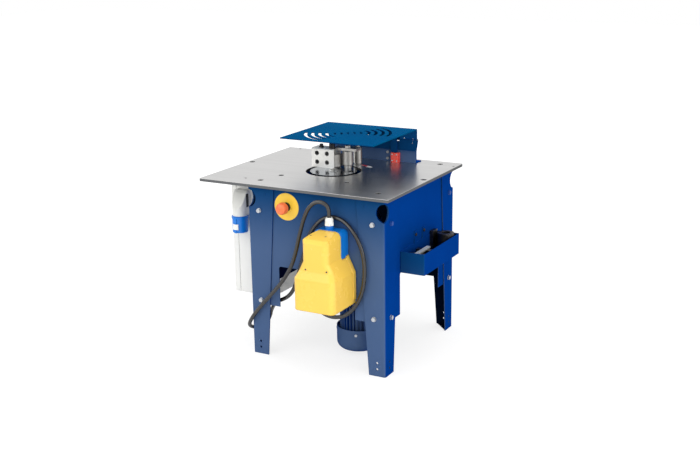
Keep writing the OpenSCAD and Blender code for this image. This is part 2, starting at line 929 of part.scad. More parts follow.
// Finned frame, end flange and the end bell that carries the cowl
module motor_body() {
  color(blue)
  translate([motor_x, motor_y, 0])
  difference() {
    union() {
      translate([0, 0, fin_low_z]) linear_extrude(motor_top_z - fin_low_z - 10) {
        circle(motor_core_r);
        for (i = [0 : fin_count - 1])
          rotate([0, 0, i * 360 / fin_count])
            translate([motor_core_r - 2, -fin_t / 2])
            square([fin_d / 2 - motor_core_r + 2, fin_t]);
      }
      translate([0, 0, bell_low_z])
        cylinder(r = motor_core_r, h = fin_low_z - bell_low_z + eps);
      translate([0, 0, motor_top_z - 10 - eps])
        cylinder(r = fin_d / 2, h = 10 + 2 * eps);
      translate([0, 0, motor_top_z])
        cylinder(r = motor_flange_r, h = motor_flange_t, $fn = 96);
      rotate([0, 0, box_turn]) translate([0, -box_w / 2 + 12, box_low_z])
        cube([pad_r, box_w - 24, box_w]);
      // Four lugs that the cowl slips over
      for (a = [20 : 90 : 290])
        rotate([0, 0, a]) translate([0, -7, bell_low_z])
          intersection() {
            cube([cowl_d, 14, 12]);
            translate([0, 7, 0]) cylinder(r = cowl_boss_r - 0.1, h = 12);
          }
    }
    translate([0, 0, bell_low_z - 1])
      cylinder(r = motor_shaft_d / 2 + run_gap, h = motor_top_z + motor_flange_t);
    for (a = [20 : 90 : 290])
      rotate([0, 0, a]) translate([cowl_boss_r - 12, 0, bell_low_z + 6])
        along_x() cylinder(d = 5.2, h = 13);
  }
}

module rotor_shaft() {
  color(steel)
  translate([motor_x, motor_y, fan_low_z + 2])
    cylinder(d = motor_shaft_d, h = shaft_top_z - fan_low_z - 2);
}

fan_low_z = cowl_low_z + 22;
fan_h = 28;
fan_r = cowl_d / 2 - 17;
blade_count = 7;

module cooling_fan() {
  color(black)
  translate([motor_x, motor_y, fan_low_z])
  difference() {
    union() {
      cylinder(r = 19, h = fan_h);
      translate([0, 0, fan_h - 3]) cylinder(r = fan_r, h = 3);
      for (i = [0 : blade_count - 1])
        rotate([0, 0, i * 360 / blade_count])
          translate([17, -1.5, 4])
          cube([fan_r - 19, 3, fan_h - 5]);
    }
    translate([0, 0, 2])
      cylinder(d = motor_shaft_d + 0.04, h = fan_h);
  }
}

grille_slots = 12;

// Deep drawn cowl with a rounded bottom and a grille of radial slots
module fan_cowl() {
  r = cowl_d / 2;
  ri = r - cowl_wall;
  rr = cowl_round;
  color(blue)
  translate([motor_x, motor_y, cowl_low_z])
  difference() {
    rotate_extrude($fn = 96)
      difference() {
        union() {
          square([r - rr, cowl_h]);
          translate([0, rr]) square([r, cowl_h - rr]);
          translate([r - rr, rr]) circle(rr);
        }
        translate([0, cowl_wall]) square([ri - rr, cowl_h]);
        translate([0, cowl_wall + rr]) square([ri, cowl_h]);
        translate([ri - rr, cowl_wall + rr]) circle(rr);
        translate([-2 * r, -1]) square([2 * r, 2 * cowl_h]);
      }
    for (i = [0 : grille_slots - 1])
      rotate([0, 0, i * 360 / grille_slots])
        translate([16, -2.5, -1]) cube([26, 5, cowl_wall + 2]);
    for (a = [20 : 90 : 290])
      rotate([0, 0, a])
        translate([ri - 2, 0, bell_low_z + 6 - cowl_low_z])
        along_x() cylinder(d = 5.4, h = 6);
  }
}

module cowl_screws() {
  color(zinc)
  translate([motor_x, motor_y, bell_low_z + 6])
    for (a = [20 : 90 : 290])
      rotate([0, 0, a]) {
        translate([cowl_boss_r - 11, 0, 0]) along_x()
          cylinder(d = 5, h = 11 + cowl_wall + eps);
        translate([cowl_d / 2, 0, 0]) along_x() cylinder(d = 9, h = 2);
      }
}

// Motor terminal box with its lid and gland, turned away from the operator
module terminal_box() {
  color(blue)
  translate([motor_x, motor_y, box_low_z])
    rotate([0, 0, box_turn])
    difference() {
      union() {
        translate([pad_r, -box_w / 2, 0]) cube([34, box_w, box_w]);
        translate([pad_r + 34 - eps, -box_w / 2 - 2, -2])
          cube([8, box_w + 4, box_w + 4]);
        translate([pad_r + 17, 0, -14]) cylinder(d = 20, h = 14 + eps);
      }
      translate([pad_r + 17, 0, -15]) cylinder(d = 10, h = 12);
    }
}

// ---------- guard ----------

guard_x0 = disc_x - 147;
guard_y1 = disc_y + 226;
guard_top = table_h + guard_h;
wall_y = guard_y1 - guard_t;
hinge_z = table_h + hinge_h;
hinge_y = guard_y1 + hinge_pin_d / 2 + 2;
knuckle_r = hinge_pin_d / 2 + 2.5;
knuckle_w = 44;
hinge_gap = 0.5;
bracket_x0 = guard_x0 + 4;
bracket_w = guard_w - 6;
band_h = 42;
bracket_foot = 40;
bracket_screw_d = 8;

// Places of the knuckles, as shares of the guard's width: fixed, then moving
fixed_knuckles = [0.06, 0.46, 0.86];
guard_knuckles = [0.22, 0.68];

module knuckles(places) {
  for (k = places)
    translate([guard_x0 + k * guard_w, hinge_y, hinge_z])
      along_x() cylinder(r = knuckle_r, h = knuckle_w);
}

module knuckle_reliefs(places) {
  for (k = places)
    translate([guard_x0 + k * guard_w - 1, hinge_y - knuckle_r - guard_t - 1,
      hinge_z - knuckle_r - 1])
      cube([knuckle_w + 2, 2 * knuckle_r + guard_t + 1, 2 * knuckle_r + 2]);
}

module hinge_bore() {
  translate([guard_x0 - 10, hinge_y, hinge_z])
    along_x() cylinder(d = hinge_pin_d + 2 * run_gap, h = guard_w + 20);
}

module at_bracket_screws() {
  for (k = [0.1, 0.5, 0.9])
    translate([bracket_x0 + k * bracket_w, guard_y1 + 24, 0]) children();
}

// Fixed rear bracket: a foot on the table and a wall up to the hinge
module guard_bracket() {
  flare = 6;
  color(blue)
  difference() {
    union() {
      difference() {
        extrude_y(wall_y, guard_t)
          polygon([
            [bracket_x0, table_h], [bracket_x0 + bracket_w, table_h],
            [bracket_x0 + bracket_w, table_h + band_h],
            [bracket_x0 + bracket_w + flare, hinge_z],
            [bracket_x0 - flare + 4, hinge_z], [bracket_x0, table_h + band_h]
          ]);
        knuckle_reliefs(guard_knuckles);
      }
      translate([bracket_x0, wall_y, table_h])
        cube([bracket_w, bracket_foot, guard_t]);
      knuckles(fixed_knuckles);
      for (k = fixed_knuckles)
        translate([guard_x0 + k * guard_w, wall_y, hinge_z - knuckle_r])
          cube([knuckle_w, hinge_y - wall_y, knuckle_r]);
    }
    hinge_bore();
    at_bracket_screws()
      translate([0, 0, table_h - 1]) cylinder(d = bracket_screw_d + 1, h = guard_t + 2);
  }
}

// Stiffening angle along the foot of the bracket
module guard_angle() {
  t = 2.5;
  color(blue)
  difference() {
    extrude_x(bracket_x0, bracket_w)
      translate([wall_y - t, table_h])
      polygon([[0, 0], [0, band_h], [t, band_h], [t, 0]]);
    at_band_screws() cylinder(d = 5.4, h = 20, center = true);
  }
}

// The two screws of the interlock bracket, +Z pointing at the operator
module at_band_screws() {
  for (z = [10, 32])
    translate([disc_x + 94, wall_y, table_h + z]) rotate([90, 0, 0]) children();
}

// One arc-shaped slot: radius, width, first angle and sweep
module arc_slot(r, w, a0, sweep) {
  rotate([0, 0, a0])
    rotate_extrude(angle = sweep, $fn = 96)
    translate([r - w / 2, -2 * guard_t]) square([w, 3 * guard_t]);
}

slot_rings = [72, 96, 120, 144];
slot_w = 11;
louvre_l = 40;

// Lifting guard: a flat plate with see-through arcs and a folded rear wall
module guard_plate() {
  fold_low = hinge_z + hinge_gap;
  color(guard_blue)
  difference() {
    union() {
      slab(guard_x0, guard_y1 - guard_d, guard_top - guard_t, guard_w, guard_d,
        guard_t, 3);
      translate([guard_x0, wall_y, fold_low])
        cube([guard_w, guard_t, guard_top - guard_t - fold_low + eps]);
      for (k = guard_knuckles) {
        translate([guard_x0 + k * guard_w, wall_y, hinge_z])
          cube([knuckle_w, guard_t, fold_low - hinge_z + eps]);
        translate([guard_x0 + k * guard_w, wall_y, hinge_z])
          cube([knuckle_w, hinge_y - wall_y, knuckle_r]);
      }
      knuckles(guard_knuckles);
    }
    hinge_bore();
    knuckle_reliefs(fixed_knuckles);
    translate([disc_x + 24, disc_y + 60, guard_top]) {
      for (r = slot_rings, s = [33, 228])
        arc_slot(r, slot_w, s - 32, 64);
      // Short louvres between the two groups of arcs
      for (k = [-2 : 2])
        rotate([0, 0, 33]) translate([k * 22, 0, -guard_t - 1])
          linear_extrude(guard_t + 2) rounded_slot(8, louvre_l);
    }
    at_tongue_screws()
      translate([0, 0, guard_top - guard_t - 1]) cylinder(d = 5.4, h = guard_t + 2);
  }
}

// Hinge pin with a head at the right and a split ring at the left
module hinge_pin() {
  color(zinc)
  translate([guard_x0 + 0.06 * guard_w - 8, hinge_y, hinge_z])
    along_x() {
      cylinder(d = hinge_pin_d, h = 0.94 * guard_w + 3);
      translate([0, 0, 0.94 * guard_w + 3 - eps])
        cylinder(d = hinge_pin_d + 3, h = 5);
    }
}

tongue_w = 24;
tongue_x = disc_x + 122;
tongue_y = wall_y - 11;
switch_h = 34;
switch_w = 29;
switch_d = 18;
tongue_gap = 0.8;

module at_tongue_screws() {
  for (s = [-1, 1])
    translate([tongue_x + s * 6, tongue_y - 12, 0]) children();
}

// Actuator tongue that hangs from the guard plate over the interlock
module guard_tongue() {
  low = table_h + switch_h + tongue_gap;
  top = guard_top - guard_t;
  color(blue)
  difference() {
    union() {
      translate([tongue_x - tongue_w / 2, tongue_y - 1.5, low])
        cube([tongue_w, 3, top - low]);
      translate([tongue_x - tongue_w / 2, tongue_y - 20, top - 3])
        cube([tongue_w, 20, 3]);
    }
    at_tongue_screws()
      translate([0, 0, top - 4]) cylinder(d = 5.4, h = 5);
  }
}

// Screws of the bracket's foot and band, of the tongue and of the interlock
module guard_screws() {
  color(zinc) {
    at_bracket_screws() {
      translate([0, 0, table_h + guard_t]) hex_head(13, 5);
      translate([0, 0, table_low + 1])
        cylinder(d = bracket_screw_d, h = table_t + guard_t - 1 + eps);
    }
    at_band_screws() {
      translate([0, 0, 2.5]) cylinder(d = 10, h = 3);
      cylinder(d = 5, h = 2.5 + eps);
    }
  }
}

module interlock_switch() {
  color(signal_red)
  slab(tongue_x - switch_w / 2 + 6, wall_y - 2.5 - switch_d, table_h, switch_w, switch_d,
    switch_h, 2);
}

// ---------- emergency stop ----------

estop_x = disc_x - 27;
estop_z = table_h - 68;
label_t = 1;
collar_d = 30;
collar_h_out = 7;
plunger_d = 16;
estop_face = -panel_y;
mushroom_back = estop_face - label_t - collar_h_out - estop_travel - 2;
mushroom_h = 30;

module at_estop(y) {
  translate([estop_x, y, estop_z]) rotate([90, 0, 0]) children();
}

module estop_hole() {
  at_estop(estop_face + 10) cylinder(d = 22.5, h = 20);
}

module estop_label() {
  color(yellow)
  at_estop(estop_face)
    difference() {
      cylinder(d = estop_label_d, h = label_t, $fn = 96);
      translate([0, 0, -1]) cylinder(d = 22.5, h = label_t + 2);
    }
}

// Threaded collar through the panel, with the contact block behind it
module estop_collar() {
  color(black)
  difference() {
    union() {
      at_estop(estop_face - label_t) cylinder(d = collar_d, h = collar_h_out);
      at_estop(estop_face + 22) cylinder(d = 22, h = 23 + eps);
      translate([estop_x - 20, estop_face + 22 - eps, estop_z - 22])
        cube([40, 38, 44]);
    }
    at_estop(estop_face + 22)
      cylinder(d = plunger_d + 2 * run_gap, h = 60);
  }
}

module estop_plunger() {
  color(black)
  at_estop(estop_face + 22 - estop_travel - 1)
    cylinder(d = plunger_d, h = estop_face + 22 - estop_travel - 1 - mushroom_back);
}

// Mushroom head, twisted to release
module estop_mushroom() {
  r = mushroom_d / 2;
  h = mushroom_h;
  color(signal_red)
  at_estop(mushroom_back)
    rotate_extrude($fn = 96)
    polygon([
      [0, 0], [11, 0], [11, 4], [r - 3, 4], [r - 1, 5], [r, 7], [r, 10], [r - 1.6, h - 9],
      [r - 2.6, h - 6], [r - 4.6, h - 3.4], [r - 8, h - 1.6], [r - 13, h - 0.4], [0, h]
    ]);
}

// ---------- foot pedal ----------

pedal_x = 74;
pedal_back = -panel_y - 5;
pedal_front = pedal_back - pedal_d;
pedal_top = 478;
pedal_half = pedal_w / 2;
neck_half = pedal_half - 2.5;
hood_half = hood_w / 2;
hood_front = pedal_back - hood_d;
neck_front = hood_front + 12;
neck_low = 396;
flare_low = 342;
slope_z = 367;
slope_half = hood_half - (hood_half - neck_half) * (slope_z - flare_low) / (neck_low - flare_low);
rim_d = 15;
rim_p = 2.5;
hood_low = 240;
sole_low = hood_low + 5;
sole_t = 14;
block_low = 345;
pedal_corner = 14;
treadle_pin_d = 6;
treadle_y = pedal_front + 8;
treadle_z = block_low - 15;
treadle_half = pedal_half - 10;
treadle_wide = 50;
gland_x = pedal_x - 6;
gland_y = pedal_back - pedal_d / 2 - 1;
ear_t = 6;

// Body of the pedal: switch block above, sole plate below, ears for the treadle
module pedal_base() {
  sole_half = hood_half - hood_t;
  color([0.0, 0.42, 0.85])
  difference() {
    union() {
      extrude_y(pedal_front, pedal_d)
        translate([pedal_x - pedal_half, block_low]) {
          square([pedal_w, pedal_top - pedal_corner - block_low]);
          translate([pedal_corner, 0])
            square([pedal_w - 2 * pedal_corner, pedal_top - block_low]);
          for (x = [pedal_corner, pedal_w - pedal_corner])
            translate([x, pedal_top - pedal_corner - block_low])
              circle(pedal_corner);
        }
      extrude_y(pedal_back - sole_t, sole_t)
        translate([pedal_x, 0])
        polygon([
          [-sole_half, sole_low], [sole_half, sole_low], [sole_half, flare_low - 5],
          [neck_half - 4, neck_low - 12], [4 - neck_half, neck_low - 12],
          [-sole_half, flare_low - 5]
        ]);
      for (s = [-1, 1])
        translate([pedal_x + s * (pedal_half - ear_t / 2) - ear_t / 2,
          treadle_y - 8, treadle_z - 8])
          cube([ear_t, 16, block_low - treadle_z + 8 + eps]);
      translate([gland_x, gland_y, pedal_top - 2]) cylinder(d = 27, h = 14);
    }
    translate([gland_x, gland_y, pedal_top - 20]) cylinder(d = 16, h = 40);
    translate([pedal_x - pedal_half - 1, treadle_y, treadle_z])
      along_x() cylinder(d = treadle_pin_d + 0.04, h = pedal_w + 2);
    // Pocket in the back for the hook
    translate([pedal_x - 21, pedal_back - 6, pedal_top - 60])
      cube([42, 7, 44]);
  }
}

// Plan of the hood at one level, its two front corners rounded
module hood_plan(half, front, back, r) {
  translate([pedal_x - half, front + r]) square([2 * half, back - front - r]);
  translate([pedal_x - half + r, front]) square([2 * (half - r), r + 1]);
  for (s = [-1, 1])
    translate([pedal_x + s * (half - r), front + r]) circle(r);
}

// The hood's outer form when t is 0, and the hollow inside it when t is its wall
module hood_form(t) {
  rear = pedal_back + 3 * t;
  neck_rear = pedal_front + 3 * t;
  low = hood_low - t;
  // Foot end
  translate([0, 0, low]) linear_extrude(flare_low - t - low)
    hood_plan(hood_half - t, hood_front + t, rear, 18 - t);
  // Shoulders: the front leans forward only low down
  hull() {
    translate([0, 0, flare_low - t - 1]) linear_extrude(1)
      hood_plan(hood_half - t, hood_front + t, rear, 18 - t);
    translate([0, 0, slope_z - t - 1]) linear_extrude(1)
      hood_plan(slope_half - t, neck_front + t, rear, 18 - t);
  }
  hull() {
    translate([0, 0, slope_z - t - 1]) linear_extrude(1)
      hood_plan(slope_half - t, neck_front + t, rear, 18 - t);
    translate([0, 0, neck_low - t - 1]) linear_extrude(1)
      hood_plan(neck_half - t, neck_front + t, rear, 18 - t);
  }
  // Neck, with its top sloping down to the front
  intersection() {
    translate([0, 0, neck_low - t - 1]) linear_extrude(120)
      hood_plan(neck_half - t, neck_front + t, neck_rear, 18 - t);
    extrude_x(pedal_x - neck_half, 2 * neck_half)
      polygon([
        [neck_rear + 1, neck_low - 40], [neck_rear + 1, pedal_top - t],
        [pedal_front - 12, pedal_top - t], [neck_front + 14, pedal_top - 12 - t],
        [neck_front, pedal_top - 24 - t], [neck_front, neck_low - 40]
      ]);
    extrude_y(neck_front - 1, 140)
      translate([pedal_x - neck_half + t, neck_low - 40]) {
        high = pedal_top - t - neck_low + 40;
        w = 2 * (neck_half - t);
        square([w, high - 20]);
        translate([20, 0]) square([w - 40, high]);
        for (x = [20, w - 20]) translate([x, high - 20]) circle(20);
      }
  }
}

// Half outline of the hood's shoulders, grown by g
module rim_outline(g) {
  translate([pedal_x, 0])
    polygon([
      [-hood_half - g, hood_low + 12], [hood_half + g, hood_low + 12],
      [hood_half + g, flare_low], [neck_half + g, neck_low], [-neck_half - g, neck_low],
      [-hood_half - g, flare_low]
    ]);
}

// Moulded hood, open at the foot end and along its back
module pedal_hood() {
  color(yellow)
  difference() {
    union() {
      hood_form(0);
      // Raised band along both rear edges
      extrude_y(pedal_back - rim_d, rim_d)
        difference() {
          rim_outline(rim_p);
          rim_outline(-1);
        }
    }
    hood_form(hood_t);
    // The switch block passes through the shoulders
    translate([pedal_x - pedal_half, pedal_front, flare_low])
      cube([pedal_w, pedal_d + 5, neck_low - flare_low + 5]);
  }
}

// Treadle that the foot presses, hinged under the switch block
module pedal_treadle() {
  barrel = treadle_half + 3.7;
  wide_top = treadle_z - 12;
  color(black)
  difference() {
    union() {
      translate([pedal_x - barrel, treadle_y, treadle_z])
        along_x() cylinder(d = 13, h = 2 * barrel);
      translate([pedal_x - treadle_half, treadle_y - 5, wide_top - 1])
        cube([2 * treadle_half, 5, treadle_z - wide_top + 1]);
      translate([pedal_x - treadle_wide, treadle_y - 5, sole_low + 6])
        cube([2 * treadle_wide, 5, wide_top - sole_low - 6]);
      for (i = [0 : 4])
        translate([pedal_x - treadle_wide + 6, treadle_y - 7, sole_low + 12 + i * 11])
          cube([2 * treadle_wide - 12, 2 + eps, 4]);
    }
    translate([pedal_x - barrel - 1, treadle_y, treadle_z])
      along_x() cylinder(d = treadle_pin_d + 2 * run_gap, h = 2 * barrel + 2);
  }
}

module pedal_pin() {
  color(zinc)
  translate([pedal_x - pedal_half, treadle_y, treadle_z])
    along_x() cylinder(d = treadle_pin_d, h = pedal_w);
}

// Cable gland on the pedal: a hexagon and a domed nut
module pedal_gland() {
  color(off_white)
  translate([gland_x, gland_y, pedal_top + 12])
    difference() {
      union() {
        translate([0, 0, -16]) cylinder(d = 15.8, h = 16 + eps);
        hex_head(27, 8);
        translate([0, 0, 8 - eps]) cylinder(d = 26, h = 10);
        translate([0, 0, 18 - 2 * eps]) cylinder(d1 = 26, d2 = 20, h = 7);
      }
      translate([0, 0, -20]) cylinder(d = cable_d - 4, h = 50);
    }
}

// Hook plate riveted to the front panel, in the pocket of the pedal's back
module pedal_hook() {
  color(steel) {
    translate([pedal_x - 20, pedal_back + seat, pedal_top - 58])
      cube([40, -panel_y - pedal_back - seat, 40]);
    translate([pedal_x - 20, pedal_back - 5, pedal_top - 24])
      cube([40, 5 + seat + eps, 3]);
    translate([pedal_x - 20, pedal_back - 5, pedal_top - 21 - eps])
      cube([40, 3, 5]);
  }
}

// ---------- pedal cable ----------

// Hand-laid route of the cable, from the pedal's gland to the machine's gland
cable_route = [
  [68, -288, 515.3], [67.5, -290, 542], [60, -295, 557], [43, -299, 564], [24.5, -302, 560],
  [8, -304, 546], [-5, -305, 525], [-16, -305, 499], [-26, -305, 468], [-36, -304, 436],
  [-47, -304, 395], [-66, -302, 345], [-100, -296, 292], [-138, -289, 248],
  [-176, -283, 208], [-214, -279, 166], [-244, -277, 128], [-264, -264, 98],
  [-270, -236, 78], [-264, -206, 70], [-250, -182, 80], [-240, -174, 102], [-229, -182, 124],
  [-212, -197, 146], [-192, -213, 166], [-169, -227, 183], [-144, -238, 197],
  [-122, -244, 211], [-105, -247, 228], [-91, -250, 249], [-77, -256, 276], [-61, -268, 310],
  [-43, -280, 346], [-29, -284, 384], [-19, -285, 420], [-6, -283, 452], [14, -277, 482],
  [38, -270, 503], [74, -268, 511], [112, -270, 500], [148, -276, 470], [172, -278, 430],
  [184, -279, 388], [186, -279, 342], [180, -279, 296], [165, -279, 253], [139, -277, 216],
  [103, -271, 188], [62, -262, 175], [24, -252, 176], [-14, -240, 190], [-46, -222, 212],
  [-72, -196, 240], [-96, -164, 264], [-126, -134, 280], [-160, -112, 286],
  [-196, -104, 286], [-213.7, -104, 286]
];

function unit(v) = v / norm(v);

// Point at share u between p1 and p2 of a smooth curve through four points
function blend_point(p0, p1, p2, p3, u) =
  0.5 * (2 * p1 + (p2 - p0) * u
    + (2 * p0 - 5 * p1 + 4 * p2 - p3) * u * u
    + (3 * p1 - p0 - 3 * p2 + p3) * u * u * u);

function smooth_path(p) = [
  for (i = [0 : len(p) - 2], u = [0, 0.5])
    if (u == 0 || i % 2 == 0)
      blend_point(p[max(i - 1, 0)], p[i], p[i + 1], p[min(i + 2, len(p) - 1)], u),
  p[len(p) - 1]
];

function path_tangent(p, i) =
  unit(p[min(i + 1, len(p) - 1)] - p[max(i - 1, 0)]);

// Carries a side vector along the path without twisting it
function side_vectors(p) = [
  for (i = 0, s = [0, 1, 0]; i < len(p);
    s = s - (s * path_tangent(p, min(i + 1, len(p) - 1)))
        * path_tangent(p, min(i + 1, len(p) - 1)),
    i = i + 1)
    unit(s - (s * path_tangent(p, i)) * path_tangent(p, i))
];

module swept_tube(p, d, sides) {
  side = side_vectors(p);
  n = len(p);
  points = [
    for (i = [0 : n - 1], k = [0 : sides - 1])
      let (t = path_tangent(p, i), a = 360 * k / sides)
        p[i] + d / 2 * (cos(a) * side[i] + sin(a) * cross(t, side[i]))
  ];
  walls = [
    for (i = [0 : n - 2], k = [0 : sides - 1])
      let (j = (k + 1) % sides)
        each [
          [i * sides + k, (i + 1) * sides + j, i * sides + j],
          [i * sides + k, (i + 1) * sides + k, (i + 1) * sides + j]
        ]
  ];
  first = [for (k = [0 : sides - 1]) k];
  last = [for (k = [sides - 1 : -1 : 0]) (n - 1) * sides + k];
  polyhedron(points = points, faces = concat([first], walls, [last]));
}

module pedal_cable() {
  color(black) swept_tube(smooth_path(cable_route), cable_d, 8);
}

cable_end = cable_route[len(cable_route) - 1];
entry_x = -panel_x;

module cable_entry_hole() {
  translate([entry_x - 10, cable_end[1], cable_end[2]])
    along_x() cylinder(d = 20.5, h = 30);
}

// Gland in the enclosure's back wall, below the left panel's edge
module cable_gland() {
  color(black)
  translate([entry_x, cable_end[1], cable_end[2]])
    along_x()
    difference() {
      union() {
        translate([0, 0, -encl_t - 8]) cylinder(d = 20, h = encl_t + 8 + eps);
        hex_head(26, 8);
        translate([0, 0, 8 - eps]) cylinder(d = 24, h = cable_end[0] - entry_x - 8.3);
      }
      translate([0, 0, -20]) cylinder(d = cable_d - 4, h = 100);
    }
}

// ---------- electrical enclosure ----------

encl_y0 = -138;
encl_z0 = 158;
encl_x1 = -panel_x;
encl_split_x = encl_x1 - encl_base_d;

module enclosure_base() {
  t = encl_t;
  color(off_white)
  difference() {
    slab_x(encl_split_x, encl_y0, encl_z0, encl_base_d, encl_w, encl_h, 6);
    slab_x(encl_split_x - 1, encl_y0 + t, encl_z0 + t, encl_base_d + 1 - t,
      encl_w - 2 * t, encl_h - 2 * t, 4);
    cable_entry_hole();
    // Bore behind the inlet for its wires
    translate([inlet_x, encl_y0 - 1, inlet_top - 60])
      along_y() cylinder(d = 22, h = 10);
  }
}

// A box with edges rounded along X
module slab_x(x0, y0, z0, w, d, h, r) {
  extrude_x(x0, w) translate([y0, z0]) rounded_square(d, h, r);
}

module enclosure_cover() {
  t = encl_t;
  x0 = encl_split_x - 1.5 - encl_cover_d;
  color(off_white)
  difference() {
    union() {
      slab_x(x0, encl_y0, encl_z0, encl_cover_d, encl_w, encl_h, 6);
      // Lip that locates the cover inside the base
      slab_x(x0 + encl_cover_d - eps, encl_y0 + t + seat, encl_z0 + t + seat,
        8, encl_w - 2 * t - 2 * seat, encl_h - 2 * t - 2 * seat, 4);
    }
    slab_x(x0 + t, encl_y0 + 2 * t + seat, encl_z0 + 2 * t + seat,
      encl_cover_d + 20, encl_w - 4 * t - 2 * seat, encl_h - 4 * t - 2 * seat, 3);
  }
}

// Rail with contactor, overload relay and control transformer
module control_gear() {
  x = encl_x1 - encl_t;
  color([0.25, 0.27, 0.28]) {
    translate([x - 8, encl_y0 + 30, encl_z0 + 236]) cube([8, encl_w - 60, 35]);
    translate([x - 88, encl_y0 + 50, encl_z0 + 216]) cube([80, 45, 78]);
    translate([x - 86, encl_y0 + 104, encl_z0 + 220]) cube([78, 45, 70]);
    translate([x - 78, encl_y0 + 200, encl_z0 + 228]) cube([70, 24, 52]);
    translate([x - 72, encl_y0 + 90, encl_z0 + 60]) cube([72, 90, 80]);
  }
}

inlet_x = -347.5;
inlet_top = 532;
collar_top = 448;
inlet_y = encl_y0 - 32;
housing_w = 42;

// Grey back of the power inlet on the enclosure's front face
module inlet_housing() {
  color([0.78, 0.78, 0.76]) {
    difference() {
      intersection() {
        // Round at the front where it meets the collar, square at the back
        translate([0, 0, collar_top - 20]) linear_extrude(inlet_top - collar_top + 20) {
          translate([inlet_x, inlet_y - 4]) circle(d = inlet_d - 8);
          translate([inlet_x - inlet_d / 2 + 4, inlet_y - 4])
            square([inlet_d - 8, encl_y0 - inlet_y + 4]);
        }
        extrude_x(inlet_x - inlet_d / 2, inlet_d)
        polygon([
          [encl_y0, collar_top - 20],
          [encl_y0, inlet_top],
          [encl_y0 - 22, inlet_top],
          [encl_y0 - 30, inlet_top - 8],
          [inlet_y - 30, collar_top + 22],
          [inlet_y - 30, collar_top],
          [encl_y0 - 6, collar_top],
          [encl_y0 - 6, collar_top - 20]
        ]);
      }
      translate([inlet_x, encl_y0 - 2, inlet_top - 60])
        along_y() cylinder(d = 22, h = 6);
    }
  }
}

pin_r = 15;

// Blue shrouded collar with three contact pins, opening downwards
module inlet_collar() {
  h = 57;
  color([0.05, 0.45, 0.85])
  translate([inlet_x, inlet_y - 4, collar_top - h]) {
    difference() {
      union() {
        cylinder(d = inlet_d - 4, h = h);
        translate([0, 0, h - 9]) cylinder(d = inlet_d, h = 7);
        // Keyway ridge
        translate([-4, -inlet_d / 2 - 1, 0]) cube([8, 8, h - 2]);
      }
      translate([0, 0, -1]) cylinder(d = inlet_d - 12, h = h - 9);
    }
    for (a = [90, 210, 330])
      rotate([0, 0, a]) translate([pin_r, 0, 16])
        cylinder(d = a == 210 ? 6 : 5, h = h - 18);
  }
}

// ---------- accessory tray ----------

tray_x0 = panel_x;
tray_y0 = -150;
tray_z0 = 320;
tray_back_h = 110;
tray_screw_d = 6;
tray_ears = [-38, 24];

module tray_screw_places() {
  for (y = tray_ears)
    translate([panel_x, y, tray_z0 + 98]) children();
}

// Folded tray hung on the right panel by its taller back
module accessory_tray() {
  t = tray_t;
  color(blue)
  difference() {
    union() {
      difference() {
        slab(tray_x0, tray_y0, tray_z0, tray_w, tray_l, tray_h, 4);
        translate([0, 0, t])
          slab(tray_x0 + t, tray_y0 + t, tray_z0, tray_w - 2 * t, tray_l - 2 * t,
            tray_h, 2);
      }
      // Two ears that the tray hangs by
      for (y = tray_ears)
        extrude_x(tray_x0, t)
        translate([y - 9, tray_z0 + tray_h / 2]) square([18, tray_back_h - tray_h / 2]);
    }
    tray_screw_places() along_x() cylinder(d = tray_screw_d + 0.5, h = 20, center = true);
  }
}

// Spare tools in the tray, with the tray's own screws
module tray_tools() {
  floor_z = tray_z0 + tray_t;
  mid_x = tray_x0 + tray_w / 2;
  // Spare mandrel standing at the rear
  color(black) {
    translate([mid_x + 10, tray_y0 + tray_l - 38, floor_z])
      difference() {
        cylinder(d = 56, h = tray_h + 6);
        translate([0, 0, 20]) cylinder(d = 30, h = tray_h);
      }
    // Spare stop plate on edge against the tray's back
    translate([tray_x0 + tray_t, tray_y0 + tray_l - 56, floor_z])
      cube([12, 36, tray_h + 10]);
  }
  // Two square keys lying on a pair of cross blocks
  color(steel)
  for (i = [0, 1])
    translate([mid_x - 1 + i * 7.5, tray_y0 + 8, floor_z + tray_h - 13.7])
      cube([6, 104, 6]);
  color(black)
  for (y = [tray_y0 + 26, tray_y0 + 84])
    translate([tray_x0 + 16, y, floor_z])
      cube([tray_w - 32, 18, tray_h - 14]);
  color(zinc)
  tray_screw_places() along_x() {
    translate([0, 0, tray_t]) cylinder(d = 11, h = 3);
    translate([0, 0, -panel_t - 5]) cylinder(d = tray_screw_d, h = panel_t + tray_t + 5 + eps);
    translate([0, 0, -panel_t - 5]) hex_head(10, 5);
  }
}

// Flat pointer let down on the table beside the sweep of the tooling
module index_pointer() {
  t = 0.7;
  color(signal_red)
  translate([disc_x + 44, disc_y + 122, table_h])
    rotate([0, 0, -25])
    linear_extrude(t)
    polygon([[0, -5], [36, -5], [36, -9], [56, 0], [36, 9], [36, 5], [0, 5]]);
}

table_plate();
leg_front_left();
leg_front_right();
leg_rear_left();
leg_rear_right();
front_panel();
rear_panel();
left_panel();
right_panel();
frame_bolts();
frame_nuts();
table_screws();
gearbox_housing();
gearbox_bolts();
output_shaft();
bending_disc();
disc_bolts();
centre_pin();
bending_block();
backing_plate();
block_screws();
jaw_wedge();
roller_pin();
bending_roller();
bridge_plate();
back_pin();
back_roller();
motor_body();
rotor_shaft();
cooling_fan();
fan_cowl();
cowl_screws();
terminal_box();
guard_bracket();
guard_angle();
guard_plate();
hinge_pin();
guard_tongue();
guard_screws();
interlock_switch();
estop_label();
estop_collar();
estop_plunger();
estop_mushroom();
pedal_base();
pedal_hood();
pedal_treadle();
pedal_pin();
pedal_gland();
pedal_hook();
pedal_cable();
cable_gland();
enclosure_base();
enclosure_cover();
control_gear();
inlet_housing();
inlet_collar();
accessory_tray();
tray_tools();
index_pointer();
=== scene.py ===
# Stand-mounted bar bending machine: finishes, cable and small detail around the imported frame.
import math

